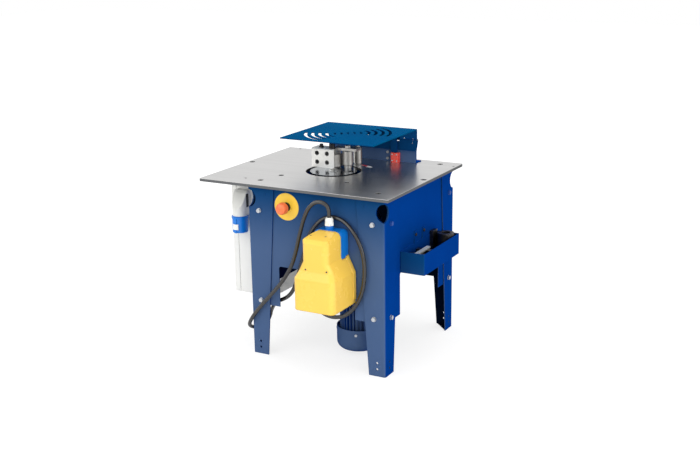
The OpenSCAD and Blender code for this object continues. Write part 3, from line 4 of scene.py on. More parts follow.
import bpy
import numpy as np
from mathutils import Matrix, Vector


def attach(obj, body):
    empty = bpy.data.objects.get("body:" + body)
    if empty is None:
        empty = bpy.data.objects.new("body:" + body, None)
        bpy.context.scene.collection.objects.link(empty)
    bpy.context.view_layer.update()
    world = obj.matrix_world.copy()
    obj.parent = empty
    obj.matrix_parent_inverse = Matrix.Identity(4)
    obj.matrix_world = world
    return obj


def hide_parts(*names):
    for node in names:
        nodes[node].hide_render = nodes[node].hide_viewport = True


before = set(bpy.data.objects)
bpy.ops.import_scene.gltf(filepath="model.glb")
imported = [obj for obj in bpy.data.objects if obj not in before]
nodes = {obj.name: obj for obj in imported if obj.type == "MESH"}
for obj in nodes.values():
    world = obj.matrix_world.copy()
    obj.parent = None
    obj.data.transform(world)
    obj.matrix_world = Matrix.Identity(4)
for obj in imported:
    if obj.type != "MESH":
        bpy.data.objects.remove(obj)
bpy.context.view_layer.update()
mm = 0.001
print("frame loaded:", len(nodes), "nodes")


# camera

cameraSettings = {
    "place": (1.7172, -3.1543, 1.3993),  # metres from the centre of the feet
    "turn": 28.8,  # degrees to the left of straight ahead
    "dip": 15.83,  # degrees below the horizon
    "roll": -0.85,
    "lens": 56.41,
}


def makeCamera(s):
    turn, dip, roll = (math.radians(s[k]) for k in ("turn", "dip", "roll"))
    ahead = Vector((-math.sin(turn) * math.cos(dip), math.cos(turn) * math.cos(dip), -math.sin(dip)))
    side = Vector((math.cos(turn), math.sin(turn), 0))
    up = side.cross(ahead)
    # the picture's own axes, rolled about the line of sight
    right = math.cos(roll) * side + math.sin(roll) * up
    top = -math.sin(roll) * side + math.cos(roll) * up
    data = bpy.data.cameras.new("camera")
    data.lens = s["lens"]
    data.sensor_width = 36
    data.clip_end = 50
    cam = bpy.data.objects.new("camera", data)
    bpy.context.scene.collection.objects.link(cam)
    turned = Matrix((right, top, -ahead)).transposed().to_4x4()
    cam.matrix_world = Matrix.Translation(s["place"]) @ turned
    bpy.context.scene.camera = cam


makeCamera(cameraSettings)
print("camera placed")


# mesh helpers


def meshFromGrid(name, grid, closeU=False, closeV=False, capStart=False, capEnd=False):
    # a grid of points, rows by columns, becomes quads; a closed direction joins its last line to its first
    rows, cols = grid.shape[:2]
    points = grid.reshape(-1, 3)
    i = np.arange(rows if closeU else rows - 1)
    j = np.arange(cols if closeV else cols - 1)
    ii, jj = np.meshgrid(i, j, indexing="ij")
    a = ii * cols + jj
    b = ii * cols + (jj + 1) % cols
    c = ((ii + 1) % rows) * cols + (jj + 1) % cols
    d = ((ii + 1) % rows) * cols + jj
    faces = [tuple(f) for f in np.stack([a, b, c, d], -1).reshape(-1, 4).tolist()]
    if capStart:
        faces.append(tuple(range(cols))[::-1])
    if capEnd:
        faces.append(tuple(range((rows - 1) * cols, rows * cols)))
    mesh = bpy.data.meshes.new(name)
    mesh.from_pydata(points.tolist(), [], faces)
    mesh.update()
    return mesh


def placeMesh(name, mesh, material, body, smooth=True):
    if smooth:
        mesh.polygons.foreach_set("use_smooth", np.ones(len(mesh.polygons), bool))
    mesh.materials.append(material)
    piece = bpy.data.objects.new(name, mesh)
    bpy.context.scene.collection.objects.link(piece)
    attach(piece, body)
    return piece


# cable

cableSettings = {
    "diameter": 0.013,
    "sides": 18,
    "step": 0.006,
    "route": [  # millimetres, from the pedal's gland to the enclosure's
        (68, -288, 515.3), (67.5, -290, 542), (60, -295, 557), (43, -299, 564),
        (24.5, -302, 560), (8, -304, 546), (-5, -305, 525), (-16, -305, 499),
        (-26, -305, 468), (-36, -304, 436), (-47, -304, 395), (-66, -302, 345),
        (-100, -296, 292), (-138, -289, 248), (-176, -283, 208), (-214, -279, 166),
        (-244, -277, 128), (-264, -264, 98), (-270, -236, 78), (-264, -206, 70),
        (-250, -182, 80), (-240, -174, 102), (-229, -182, 124), (-212, -197, 146),
        (-192, -213, 166), (-169, -227, 183), (-144, -238, 197), (-122, -244, 211),
        (-105, -247, 228), (-91, -250, 249), (-77, -256, 276), (-61, -268, 310),
        (-43, -280, 346), (-29, -284, 384), (-19, -285, 420), (-6, -283, 452),
        (14, -277, 482), (38, -270, 503), (74, -268, 511), (112, -270, 500),
        (148, -276, 470), (172, -278, 430), (184, -279, 388), (186, -279, 342),
        (180, -279, 296), (165, -279, 253), (139, -277, 216), (103, -271, 188),
        (62, -262, 175), (24, -252, 176), (-14, -240, 190), (-46, -222, 212),
        (-72, -196, 240), (-96, -164, 264), (-126, -134, 280), (-160, -112, 286),
        (-196, -104, 286), (-213.7, -104, 286),
    ],
}


def smoothLine(route, step):
    # Catmull-Rom curve through the points, each stretch a cubic of its four neighbours, at even steps of length
    finePoints = 24  # on each stretch, before they are spaced evenly
    p = np.array(route, float)
    p = np.vstack([p[0], p, p[-1]])
    u = np.linspace(0, 1, finePoints, endpoint=False)[None, :, None]
    a, b, c, d = (p[k : len(p) - 3 + k, None, :] for k in range(4))
    fine = 0.5 * (2 * b + (c - a) * u + (2 * a - 5 * b + 4 * c - d) * u**2 + (3 * b - a - 3 * c + d) * u**3)
    fine = np.vstack([fine.reshape(-1, 3), p[-1]])
    run = np.concatenate([[0], np.cumsum(np.linalg.norm(np.diff(fine, axis=0), axis=1))])
    even = np.linspace(0, run[-1], int(run[-1] / step) + 1)
    return np.stack([np.interp(even, run, fine[:, k]) for k in range(3)], -1), run[-1]


def tubeGrid(line, radius, sides):
    # rings of a circle carried along the line; each ring's side vector is the last one less its lengthwise share
    ahead = np.gradient(line, axis=0)
    ahead /= np.linalg.norm(ahead, axis=1, keepdims=True)
    side = np.zeros_like(ahead)
    last = np.array([0.0, 1.0, 0.0])
    for k in range(len(line)):
        last = last - last.dot(ahead[k]) * ahead[k]
        last /= np.linalg.norm(last)
        side[k] = last
    across = np.cross(ahead, side)
    turn = np.linspace(0, 2 * np.pi, sides, endpoint=False)[None, :, None]
    return line[:, None, :] + radius * (np.cos(turn) * side[:, None, :] + np.sin(turn) * across[:, None, :])


def turnedGrid(profile, sides):
    # a profile of radii and heights carried round the Z axis: x is r cos t, y is r sin t, z is the height
    r, z = np.array(profile, float).T[:, :, None]
    t = np.linspace(0, 2 * np.pi, sides, endpoint=False)[None, :]
    return np.stack([r * np.cos(t), r * np.sin(t), z + 0 * t], -1)


def aimGrid(grid, place, axis):
    # turns the grid's Z axis to the given axis and moves its foot to the place
    turn = np.array(Vector(axis).to_track_quat("Z", "Y").to_matrix())
    return grid @ turn.T + np.array(place, float)


def loopRing(half, radius, steps):
    # a rounded rectangle in the plane, each corner a quarter circle set in by its radius, and its outward normals
    t = np.linspace(0, np.pi / 2, steps)
    corners = np.array([(1, 1), (-1, 1), (-1, -1), (1, -1)])
    angles = t[None, :] + np.arange(4)[:, None] * np.pi / 2
    out = np.stack([np.cos(angles), np.sin(angles)], -1)
    centre = corners[:, None, :] * (np.array(half) - radius)
    return (centre + radius * out).reshape(-1, 2), out.reshape(-1, 2)


def joinGrids(name, grids, **joins):
    # several grids of one shape in one mesh: each one's faces count on from the last one's points
    first = meshFromGrid(name, grids[0] * mm, **joins)
    faces = [tuple(face.vertices) for face in first.polygons]
    count = len(first.vertices)
    bpy.data.meshes.remove(first)
    points = np.concatenate([g.reshape(-1, 3) for g in grids]) * mm
    whole = bpy.data.meshes.new(name)
    allFaces = [tuple(i + count * k for i in face) for k in range(len(grids)) for face in faces]
    whole.from_pydata(points.tolist(), [], allFaces)
    whole.update()
    return whole


# shader building blocks


def addNode(tree, kind, x=0, y=0, **settings):
    node = tree.nodes.new(kind)
    node.location = (x, y)
    for key, value in settings.items():
        setattr(node, key, value)
    return node


def addMath(tree, operation, a, b=None, x=0, y=0, clamp=False):
    node = addNode(tree, "ShaderNodeMath", x, y, operation=operation, use_clamp=clamp)
    for socket, value in zip(node.inputs, (a, b)):
        if isinstance(value, (int, float)):
            socket.default_value = value
        elif value is not None:
            tree.links.new(value, socket)
    return node.outputs[0]


def addMix(tree, factor, a, b, x=0, y=0):
    node = addNode(tree, "ShaderNodeMix", x, y, data_type="RGBA")
    for socket, value in ((node.inputs[0], factor), (node.inputs[6], a), (node.inputs[7], b)):
        if isinstance(value, (int, float)):
            socket.default_value = value
        elif isinstance(value, tuple):
            socket.default_value = (*value, 1)
        else:
            tree.links.new(value, socket)
    return node.outputs[2]


def addNoise(tree, vector, scale, detail, rough, x=0, y=0):
    node = addNode(tree, "ShaderNodeTexNoise", x, y)
    node.inputs["Detail"].default_value = detail
    node.inputs["Roughness"].default_value = rough
    if isinstance(scale, (int, float)):
        node.inputs["Scale"].default_value = scale
    else:
        tree.links.new(scale, node.inputs["Scale"])
    tree.links.new(vector, node.inputs["Vector"])
    return node.outputs["Fac"]


def addStep(tree, value, low, high, x=0, y=0):
    # rises smoothly from 0 to 1 as the value goes from low to high, which may be the lesser of the two
    node = addNode(tree, "ShaderNodeMapRange", x, y, interpolation_type="SMOOTHSTEP")
    tree.links.new(value, node.inputs["Value"])
    node.inputs["From Min"].default_value = low
    node.inputs["From Max"].default_value = high
    return node.outputs["Result"]


def newGroup(name, inputs, outputs):
    group = bpy.data.node_groups.new(name, "ShaderNodeTree")
    for label, kind, value in inputs:
        socket = group.interface.new_socket(label, in_out="INPUT", socket_type=kind)
        if value is not None:
            socket.default_value = value
    for label, kind in outputs:
        group.interface.new_socket(label, in_out="OUTPUT", socket_type=kind)
    return group, addNode(group, "NodeGroupInput", -900), addNode(group, "NodeGroupOutput", 700)


def makeSprayCoat():
    # fine ripple of sprayed paint plus slow drifts of tone: Height for a bump, Tone for colour
    group, inp, out = newGroup(
        "sprayCoat",
        [
            ("Vector", "NodeSocketVector", None),
            ("Ripple Scale", "NodeSocketFloat", 420.0),
            ("Drift Scale", "NodeSocketFloat", 5.0),
        ],
        [("Height", "NodeSocketFloat"), ("Tone", "NodeSocketFloat")],
    )
    ripple = addNoise(group, inp.outputs["Vector"], inp.outputs["Ripple Scale"], 2, 0.4, -500, 200)
    drift = addNoise(group, inp.outputs["Vector"], inp.outputs["Drift Scale"], 3, 0.5, -500, -100)
    group.links.new(ripple, out.inputs["Height"])
    group.links.new(drift, out.inputs["Tone"])
    return group


def makeRubMarks():
    # thin broken scratches from stretched noise in two directions, and soft rubbed patches
    group, inp, out = newGroup(
        "rubMarks",
        [
            ("Vector", "NodeSocketVector", None),
            ("Scale", "NodeSocketFloat", 14.0),
            ("Amount", "NodeSocketFloat", 0.3),
        ],
        [("Scratches", "NodeSocketFloat"), ("Patches", "NodeSocketFloat")],
    )
    directions = (  # rotation in radians, and how the noise is squeezed along each axis
        ((0, 0.3, 0.5), (1, 24, 6)),
        ((0.2, 0.3, -0.8), (22, 1, 5)),
    )
    lineLevels = (0.64, 0.74)  # only the noise's peaks make lines
    patchLevels = (0.45, 0.75)
    lines = []
    for k, (turn, stretch) in enumerate(directions):
        y = 300 - 260 * k
        mapping = addNode(group, "ShaderNodeMapping", -680, y)
        mapping.inputs["Rotation"].default_value = turn
        mapping.inputs["Scale"].default_value = stretch
        group.links.new(inp.outputs["Vector"], mapping.inputs["Vector"])
        grain = addNoise(group, mapping.outputs["Vector"], inp.outputs["Scale"], 5, 0.7, -480, y)
        lines.append(addStep(group, grain, *lineLevels, -280, y))
    both = addMath(group, "MAXIMUM", lines[0], lines[1], -80, 200)
    cloud = addNoise(group, inp.outputs["Vector"], inp.outputs["Scale"], 4, 0.6, -480, -300)
    patches = addStep(group, cloud, *patchLevels, -280, -300)
    broken = addMath(group, "MULTIPLY", both, patches, 100, 150)
    group.links.new(addMath(group, "MULTIPLY", broken, inp.outputs["Amount"], 300, 150), out.inputs["Scratches"])
    group.links.new(addMath(group, "MULTIPLY", patches, inp.outputs["Amount"], 300, -150), out.inputs["Patches"])
    return group


def makeEdgeRub():
    # finds outer edges as the difference between the true normal and one rounded over a small radius
    group, inp, out = newGroup(
        "edgeRub",
        [
            ("Rounded Normal", "NodeSocketVector", None),
            ("Vector", "NodeSocketVector", None),
            ("Reach", "NodeSocketFloat", 0.12),
        ],
        [("Edge", "NodeSocketFloat")],
    )
    chipSize = 160.0
    chipLevels = (0.42, 0.62)
    shape = addNode(group, "ShaderNodeNewGeometry", -700, 200)
    dot = addNode(group, "ShaderNodeVectorMath", -480, 200, operation="DOT_PRODUCT")
    group.links.new(inp.outputs["Rounded Normal"], dot.inputs[0])
    group.links.new(shape.outputs["Normal"], dot.inputs[1])
    turn = addMath(group, "SUBTRACT", 1.0, dot.outputs["Value"], -300, 200)
    share = addMath(group, "DIVIDE", turn, inp.outputs["Reach"], -120, 200, clamp=True)
    chips = addNoise(group, inp.outputs["Vector"], chipSize, 4, 0.6, -300, -100)
    broken = addStep(group, chips, *chipLevels, -120, -100)
    group.links.new(addMath(group, "MULTIPLY", share, broken, 120, 100), out.inputs["Edge"])
    return group


def makeGrindLines():
    # long fine lines along X from stretched noise, mixed with faint slow bands: Height and Tone
    group, inp, out = newGroup(
        "grindLines",
        [
            ("Vector", "NodeSocketVector", None),
            ("Fineness", "NodeSocketFloat", 900.0),
            ("Stretch", "NodeSocketFloat", 0.012),
        ],
        [("Height", "NodeSocketFloat"), ("Tone", "NodeSocketFloat")],
    )
    bandSize = 60.0
    lineShare = 0.4
    squeeze = addNode(group, "ShaderNodeCombineXYZ", -700, 200)
    group.links.new(inp.outputs["Stretch"], squeeze.inputs["X"])
    squeeze.inputs["Y"].default_value = 1
    squeeze.inputs["Z"].default_value = 1
    product = addNode(group, "ShaderNodeVectorMath", -520, 200, operation="MULTIPLY")
    group.links.new(inp.outputs["Vector"], product.inputs[0])
    group.links.new(squeeze.outputs[0], product.inputs[1])
    fine = addNoise(group, product.outputs[0], inp.outputs["Fineness"], 4, 0.65, -300, 250)
    bands = addNoise(group, product.outputs[0], bandSize, 3, 0.5, -300, -50)
    group.links.new(fine, out.inputs["Height"])
    finePart = addMath(group, "MULTIPLY", fine, lineShare, -60, 80)
    bandPart = addMath(group, "MULTIPLY", bands, 1.0 - lineShare, -60, -80)
    group.links.new(addMath(group, "ADD", finePart, bandPart, 120, 0), out.inputs["Tone"])
    return group


sprayCoat = makeSprayCoat()
rubMarks = makeRubMarks()
edgeRub = makeEdgeRub()
grindLines = makeGrindLines()


def useGroup(tree, group, x, y, values):
    node = addNode(tree, "ShaderNodeGroup", x, y, node_tree=group)
    for label, value in values.items():
        socket = node.inputs[label]
        if isinstance(value, (int, float)):
            socket.default_value = value
        else:
            tree.links.new(value, socket)
    return node


def useCoat(tree, vector, ripple, drift):
    scales = {"Vector": vector, "Ripple Scale": ripple, "Drift Scale": drift}
    return useGroup(tree, sprayCoat, -500, 200, scales)


def useRub(tree, vector, s):
    return useGroup(tree, rubMarks, -500, -50, {"Vector": vector, "Scale": s["rubScale"], "Amount": s["rub"]})


def useEdge(tree, vector, rounded):
    return useGroup(tree, edgeRub, -500, -250, {"Rounded Normal": rounded, "Vector": vector})


def startMaterial(name, bevel):
    # an empty Principled material with Object coordinates and, if asked, a rounded-edge normal
    material = bpy.data.materials.new(name)
    material.use_nodes = True
    tree = material.node_tree
    tree.nodes.clear()
    shader = addNode(tree, "ShaderNodeBsdfPrincipled", 700)
    output = addNode(tree, "ShaderNodeOutputMaterial", 1000)
    tree.links.new(shader.outputs[0], output.inputs[0])
    vector = addNode(tree, "ShaderNodeTexCoord", -900).outputs["Object"]
    rounded = None
    if bevel:
        node = addNode(tree, "ShaderNodeBevel", -700, -400, samples=4)
        node.inputs["Radius"].default_value = bevel
        rounded = node.outputs["Normal"]
    return material, tree, shader, vector, rounded


def bumpInto(tree, shader, height, strength, rounded, depth):
    bump = addNode(tree, "ShaderNodeBump", 450, -350)
    bump.inputs["Strength"].default_value = strength
    bump.inputs["Distance"].default_value = depth
    tree.links.new(height, bump.inputs["Height"])
    if rounded is not None:
        tree.links.new(rounded, bump.inputs["Normal"])
    tree.links.new(bump.outputs["Normal"], shader.inputs["Normal"])


def setShader(shader, values):
    for label, value in values.items():
        shader.inputs[label].default_value = (*value, 1) if isinstance(value, tuple) else value


# finishes


def placeMask(tree, vector, tests):
    # 1 where every test on an Object coordinate holds: above, below, or far from or near to the middle plane
    split = addNode(tree, "ShaderNodeSeparateXYZ", -700, -600)
    tree.links.new(vector, split.inputs[0])
    mask = None
    for k, (axis, sign, limit) in enumerate(tests):
        y = -600 - 150 * k
        value = split.outputs[axis]
        if sign in ("far", "near"):
            value = addMath(tree, "ABSOLUTE", value, None, -500, y)
        compare = "LESS_THAN" if sign in ("below", "near") else "GREATER_THAN"
        test = addMath(tree, compare, value, limit, -350, y)
        mask = test if mask is None else addMath(tree, "MULTIPLY", mask, test, -200, y)
    return mask


def paintedFrontReflection(tree, vector, s):
    # painted reflection and shade on the paint: one share grows as a face turns to the operator, the other grows
    # down the machine
    turnedShare = (0.25, 0.95)
    shape = addNode(tree, "ShaderNodeTexCoord", -900, -900)
    turned = addNode(tree, "ShaderNodeSeparateXYZ", -700, -900)
    tree.links.new(shape.outputs["Normal"], turned.inputs[0])
    forwards = addMath(tree, "MULTIPLY", turned.outputs["Y"], -1.0, -500, -900)
    facing = addStep(tree, forwards, *turnedShare, -350, -900)
    split = addNode(tree, "ShaderNodeSeparateXYZ", -700, -1100)
    tree.links.new(vector, split.inputs[0])
    low = addStep(tree, split.outputs["Z"], s["reflectionTop"], s["reflectionFoot"], -350, -1100)
    return facing, low


def layPatch(tree, vector, colour, rough, s):
    # within its own bounds a patch turns colour and roughness, and metal where it says so, into another finish's
    metal = None
    if "patch" in s:
        patch = s["patch"]
        mask = placeMask(tree, vector, patch["tests"])
        colour = addMix(tree, mask, colour, patch["colour"], 500, 450)
        rougher = addMath(tree, "MULTIPLY", mask, patch["rough"] - s["rough"], 500, -500)
        rough = addMath(tree, "ADD", rough, rougher, 600, -500)
        if "metal" in patch:
            lost = addMath(tree, "MULTIPLY", mask, 1.0 - patch["metal"], 500, -650)
            metal = addMath(tree, "SUBTRACT", 1.0, lost, 600, -650)
    return colour, rough, metal


toneLevels = (0.3, 0.7)  # of the slow drifts of tone in paint and plastic


def makePaint(name, s):
    # sprayed paint: tone drifts, ripple, dull rubbed patches, and bare scratches and edges a little lighter
    patchDulls = 0.25
    material, tree, shader, vector, rounded = startMaterial(name, s["bevel"])
    coat = useCoat(tree, vector, s["ripple"], s["drift"])
    rub = useRub(tree, vector, s)
    edge = useEdge(tree, vector, rounded)
    drift = addStep(tree, coat.outputs["Tone"], *toneLevels, -250, 250)
    tone = addMix(tree, drift, s["dark"], s["colour"], -50, 250)
    # painted reflection and shade: faces turned to the operator take the greyer front colours
    facing, low = paintedFrontReflection(tree, vector, s)
    front = addMix(tree, low, s["paintedFrontHigh"], s["paintedFrontLow"], -150, -900)
    tone = addMix(tree, facing, tone, front, 0, -900)
    # painted shade: faces inside the stand turn near black
    if "inside" in s:
        tests = [("X", "near", s["inside"][0]), ("Y", "near", s["inside"][1])]
        tone = addMix(tree, placeMask(tree, vector, tests), tone, s["insideColour"], 50, -700)
    marked = addMix(tree, rub.outputs["Scratches"], tone, s["bare"], 150, 250)
    edgeShare = addMath(tree, "MULTIPLY", edge.outputs["Edge"], s["edge"], -50, -100)
    worn = addMix(tree, edgeShare, marked, s["bare"], 350, 250)
    dull = addMath(tree, "MULTIPLY", rub.outputs["Patches"], patchDulls, 150, 0)
    colour, rough, _ = layPatch(tree, vector, worn, addMath(tree, "ADD", dull, s["rough"], 350, 0), s)
    tree.links.new(colour, shader.inputs["Base Color"])
    tree.links.new(rough, shader.inputs["Roughness"])
    setShader(shader, {"Specular IOR Level": s["gloss"], "Specular Tint": s["sheen"], "Metallic": s["metal"]})
    bumpInto(tree, shader, coat.outputs["Height"], s["bump"], rounded, depth=0.0006)
    return material


def makeMetal(name, s):
    # machined or plated metal: grinding lines, tone bands, small scratches and bright edges
    bandLevels = (0.35, 0.65)
    edgeShare = 0.6
    material, tree, shader, vector, rounded = startMaterial(name, s["bevel"])
    grind = {"Vector": vector, "Fineness": s["fineness"], "Stretch": s["stretch"]}
    lines = useGroup(tree, grindLines, -500, 200, grind)
    rub = useRub(tree, vector, s)
    edge = useEdge(tree, vector, rounded)
    band = addStep(tree, lines.outputs["Tone"], *bandLevels, -250, 250)
    tone = addMix(tree, band, s["dark"], s["colour"], -50, 250)
    stained = addMix(tree, rub.outputs["Patches"], tone, s["stain"], 150, 250)
    worn = addMath(tree, "MULTIPLY", edge.outputs["Edge"], edgeShare, -50, -100)
    bright = addMix(tree, worn, stained, s["bright"], 350, 250)
    scuffed = addMath(tree, "ADD", rub.outputs["Scratches"], 1.0, 0, 0)
    rough = addMath(tree, "MULTIPLY", scuffed, s["rough"], 200, 0)
    spread = addMath(tree, "MULTIPLY", lines.outputs["Tone"], s["roughSpread"], 200, -120)
    colour, rough, metal = layPatch(tree, vector, bright, addMath(tree, "ADD", rough, spread, 380, 0), s)
    tree.links.new(colour, shader.inputs["Base Color"])
    tree.links.new(rough, shader.inputs["Roughness"])
    setShader(shader, {"Metallic": 1.0})
    if metal is not None:
        tree.links.new(metal, shader.inputs["Metallic"])
    bumpInto(tree, shader, lines.outputs["Height"], s["bump"], rounded, depth=0.0004)
    return material


def makeMoulded(name, s):
    # moulded plastic or rubber: a fine grained skin, slow tone drifts and dull rubbed patches
    patchDulls = 0.3
    material, tree, shader, vector, rounded = startMaterial(name, s["bevel"])
    coat = useCoat(tree, vector, s["grain"], s["drift"])
    rub = useRub(tree, vector, s)
    drift = addStep(tree, coat.outputs["Tone"], *toneLevels, -250, 250)
    tone = addMix(tree, drift, s["dark"], s["colour"], -50, 250)
    marked = addMix(tree, rub.outputs["Scratches"], tone, s["mark"], 150, 250)
    dull = addMath(tree, "MULTIPLY", rub.outputs["Patches"], patchDulls, 150, 0)
    colour, rough, _ = layPatch(tree, vector, marked, addMath(tree, "ADD", dull, s["rough"], 350, 0), s)
    tree.links.new(colour, shader.inputs["Base Color"])
    tree.links.new(rough, shader.inputs["Roughness"])
    setShader(shader, {"Specular IOR Level": s["gloss"]})
    bumpInto(tree, shader, coat.outputs["Height"], s["bump"], rounded, depth=0.0005)
    return material


# the front colours are painted shade and painted reflection on faces that look to the operator: a darker, greyer
# blue than the sides at the upper height, and a lighter grey-blue for the white floor they reflect towards the
# feet; the coat has no gloss of its own, and its small metallic share keeps what it reflects blue
bluePaint = {
    "colour": (0.001, 0.046, 0.255), "dark": (0.001, 0.040, 0.228), "bare": (0.06, 0.12, 0.29),
    "paintedFrontHigh": (0.003, 0.046, 0.150), "paintedFrontLow": (0.066, 0.114, 0.230), "reflectionTop": 0.60, "reflectionFoot": 0.36,
    "rough": 0.40, "gloss": 0.0, "metal": 0.15, "sheen": (0.1, 0.35, 1.0), "ripple": 380.0, "drift": 4.0,
    "bump": 0.10, "rubScale": 9.0, "rub": 0.22, "edge": 0.35, "bevel": 0.0012,
}
insideColour = (0.002, 0.007, 0.022)  # painted shade: paint nearer the middle, in X and in Y, than the limits below is near black, for the shade inside the stand
legPaint = dict(bluePaint, inside=(0.2475, 0.2625), insideColour=insideColour)
panelPaint = dict(bluePaint, inside=(0.2447, 0.2597), insideColour=insideColour)
# painted reflection: the guard angle's front face takes the lighter front colour over most of its height
bandPaint = dict(bluePaint, reflectionTop=0.66, reflectionFoot=0.61)
trayPaint = dict(bluePaint, reflectionTop=0.38, reflectionFoot=0.10, patch={  # the tray's inside, painted near black as painted shade
    "tests": [("X", "above", 0.2488), ("X", "below", 0.3265), ("Y", "above", -0.1472), ("Z", "below", 0.386)],
    "colour": (0.006, 0.006, 0.007), "rough": 0.6,
})
# a lacquer over bright sheet: most of the light comes back as a blue reflection
guardPaint = dict(
    bluePaint, colour=(0.001, 0.150, 0.300), dark=(0.001, 0.128, 0.262), bare=(0.02, 0.17, 0.34),
    rough=0.24, metal=0.75, sheen=(0.02, 0.25, 0.45), reflectionTop=0.5, reflectionFoot=0.2, drift=7.0,
)

groundSteel = {
    "colour": (0.52, 0.515, 0.505), "dark": (0.42, 0.415, 0.41), "stain": (0.33, 0.315, 0.30),
    "bright": (0.70, 0.69, 0.68), "rough": 0.20, "roughSpread": 0.10, "fineness": 620.0, "stretch": 0.02,
    "bump": 0.08, "rubScale": 7.0, "rub": 0.22, "bevel": 0.0008,
}
tableSteel = dict(
    groundSteel, colour=(0.59, 0.585, 0.58), dark=(0.54, 0.535, 0.53), stain=(0.46, 0.455, 0.45),
    rough=0.26, roughSpread=0.06, bump=0.02, rub=0.12,
    patch={"tests": [("Z", "below", 0.5908)], "colour": (0.15, 0.155, 0.16), "rough": 0.45},  # edges, underside
)
discSteel = dict(
    groundSteel, colour=(0.21, 0.235, 0.27), dark=(0.17, 0.19, 0.22), rough=0.12, roughSpread=0.08, stretch=1.0,
)
toolSteel = dict(
    groundSteel, colour=(0.50, 0.49, 0.465), dark=(0.41, 0.40, 0.38), stain=(0.32, 0.30, 0.27),
    rough=0.36, fineness=500.0, stretch=1.0, rubScale=18.0,
)
blockSteel = dict(
    toolSteel, colour=(0.76, 0.755, 0.73), dark=(0.70, 0.695, 0.67), stain=(0.58, 0.57, 0.54), rough=0.42,
)
zincPlate = dict(
    groundSteel, colour=(0.62, 0.64, 0.67), dark=(0.50, 0.52, 0.55), stain=(0.40, 0.41, 0.43),
    rough=0.24, fineness=700.0, stretch=1.0, rubScale=40.0, bevel=0.0004,
)
paintedBolts = dict(zincPlate, patch={  # the side panels' upper bolts were painted with the stand
    "tests": [("X", "far", 0.2462), ("Z", "above", 0.45)],
    "colour": (0.002, 0.048, 0.26), "rough": 0.45, "metal": 0.0,
})
darkSteel = dict(
    groundSteel, colour=(0.10, 0.095, 0.09), dark=(0.05, 0.048, 0.045), stain=(0.16, 0.13, 0.11),
    bright=(0.35, 0.33, 0.31), rough=0.34, fineness=420.0, stretch=1.0, rubScale=26.0,
)
# black oxide on the block's socket screws, kept dark also as painted shade of the deep counterbores they sit in
blackOxideAndShade = dict(
    darkSteel, colour=(0.05, 0.05, 0.052), dark=(0.02, 0.02, 0.022), stain=(0.09, 0.085, 0.08),
    bright=(0.40, 0.39, 0.38), rough=0.30,
)
trayTools = dict(darkSteel, patch={  # bright keys and screws among the blackened tools
    "tests": [("Y", "below", 0.0), ("Z", "above", 0.3795), ("X", "far", 0.27)],
    "colour": (0.66, 0.69, 0.67), "rough": 0.3, "metal": 0.5,
})

yellowPlastic = {
    "colour": (0.90, 0.585, 0.090), "dark": (0.87, 0.555, 0.080), "mark": (0.70, 0.45, 0.10),
    "rough": 0.26, "gloss": 0.5, "grain": 900.0, "drift": 6.0, "bump": 0.05, "rubScale": 12.0, "rub": 0.14,
    "bevel": 0.005,
}
blackPlastic = dict(
    yellowPlastic, colour=(0.022, 0.022, 0.023), dark=(0.014, 0.014, 0.015), mark=(0.08, 0.08, 0.08),
    rough=0.42, gloss=0.4, bevel=0.0006,
)
pedalBlue = dict(
    yellowPlastic, colour=(0.003, 0.19, 0.68), dark=(0.002, 0.155, 0.56), mark=(0.10, 0.22, 0.50),
    rough=0.32, bevel=0.001,
)
whitePlastic = dict(
    yellowPlastic, colour=(0.88, 0.88, 0.845), dark=(0.85, 0.85, 0.815), mark=(0.50, 0.49, 0.45),
    rough=0.40, gloss=0.4, bevel=0.001,
)
inletGrey = dict(whitePlastic, colour=(0.78, 0.78, 0.74), dark=(0.72, 0.72, 0.68), patch={
    "tests": [  # painted shade: a dark band for the shadowed slot round the recessed flap on its side
        ("X", "above", -0.3234), ("Y", "above", -0.1690), ("Y", "below", -0.1540),
        ("Z", "above", 0.476), ("Z", "below", 0.522),
    ],
    "colour": (0.03, 0.03, 0.028), "rough": 0.6,
})
greyPlastic = dict(
    yellowPlastic, colour=(0.62, 0.63, 0.62), dark=(0.56, 0.57, 0.56), mark=(0.34, 0.34, 0.33),
    rough=0.40, bevel=0.0008,
)
redPlastic = dict(
    yellowPlastic, colour=(0.93, 0.20, 0.065), dark=(0.88, 0.17, 0.055), mark=(0.55, 0.12, 0.07), bevel=0.0006,
)
switchRed = dict(redPlastic, colour=(0.86, 0.085, 0.060), dark=(0.80, 0.070, 0.050))
pointerRed = dict(redPlastic, colour=(0.55, 0.045, 0.05), dark=(0.48, 0.04, 0.045), patch={  # its white tip
    "tests": [("X", "above", -0.004)], "colour": (0.85, 0.85, 0.85), "rough": 0.3,
})
labelFilm = dict(
    yellowPlastic, colour=(0.90, 0.59, 0.055), dark=(0.87, 0.56, 0.05), mark=(0.6, 0.42, 0.12),
    rough=0.35, bevel=0.0003,
)
cableRubber = dict(
    yellowPlastic, colour=(0.020, 0.018, 0.016), dark=(0.011, 0.010, 0.009), mark=(0.10, 0.09, 0.08),
    rough=0.22, gloss=0.8, grain=1600.0, rubScale=30.0, rub=0.3, bevel=0.0,
)

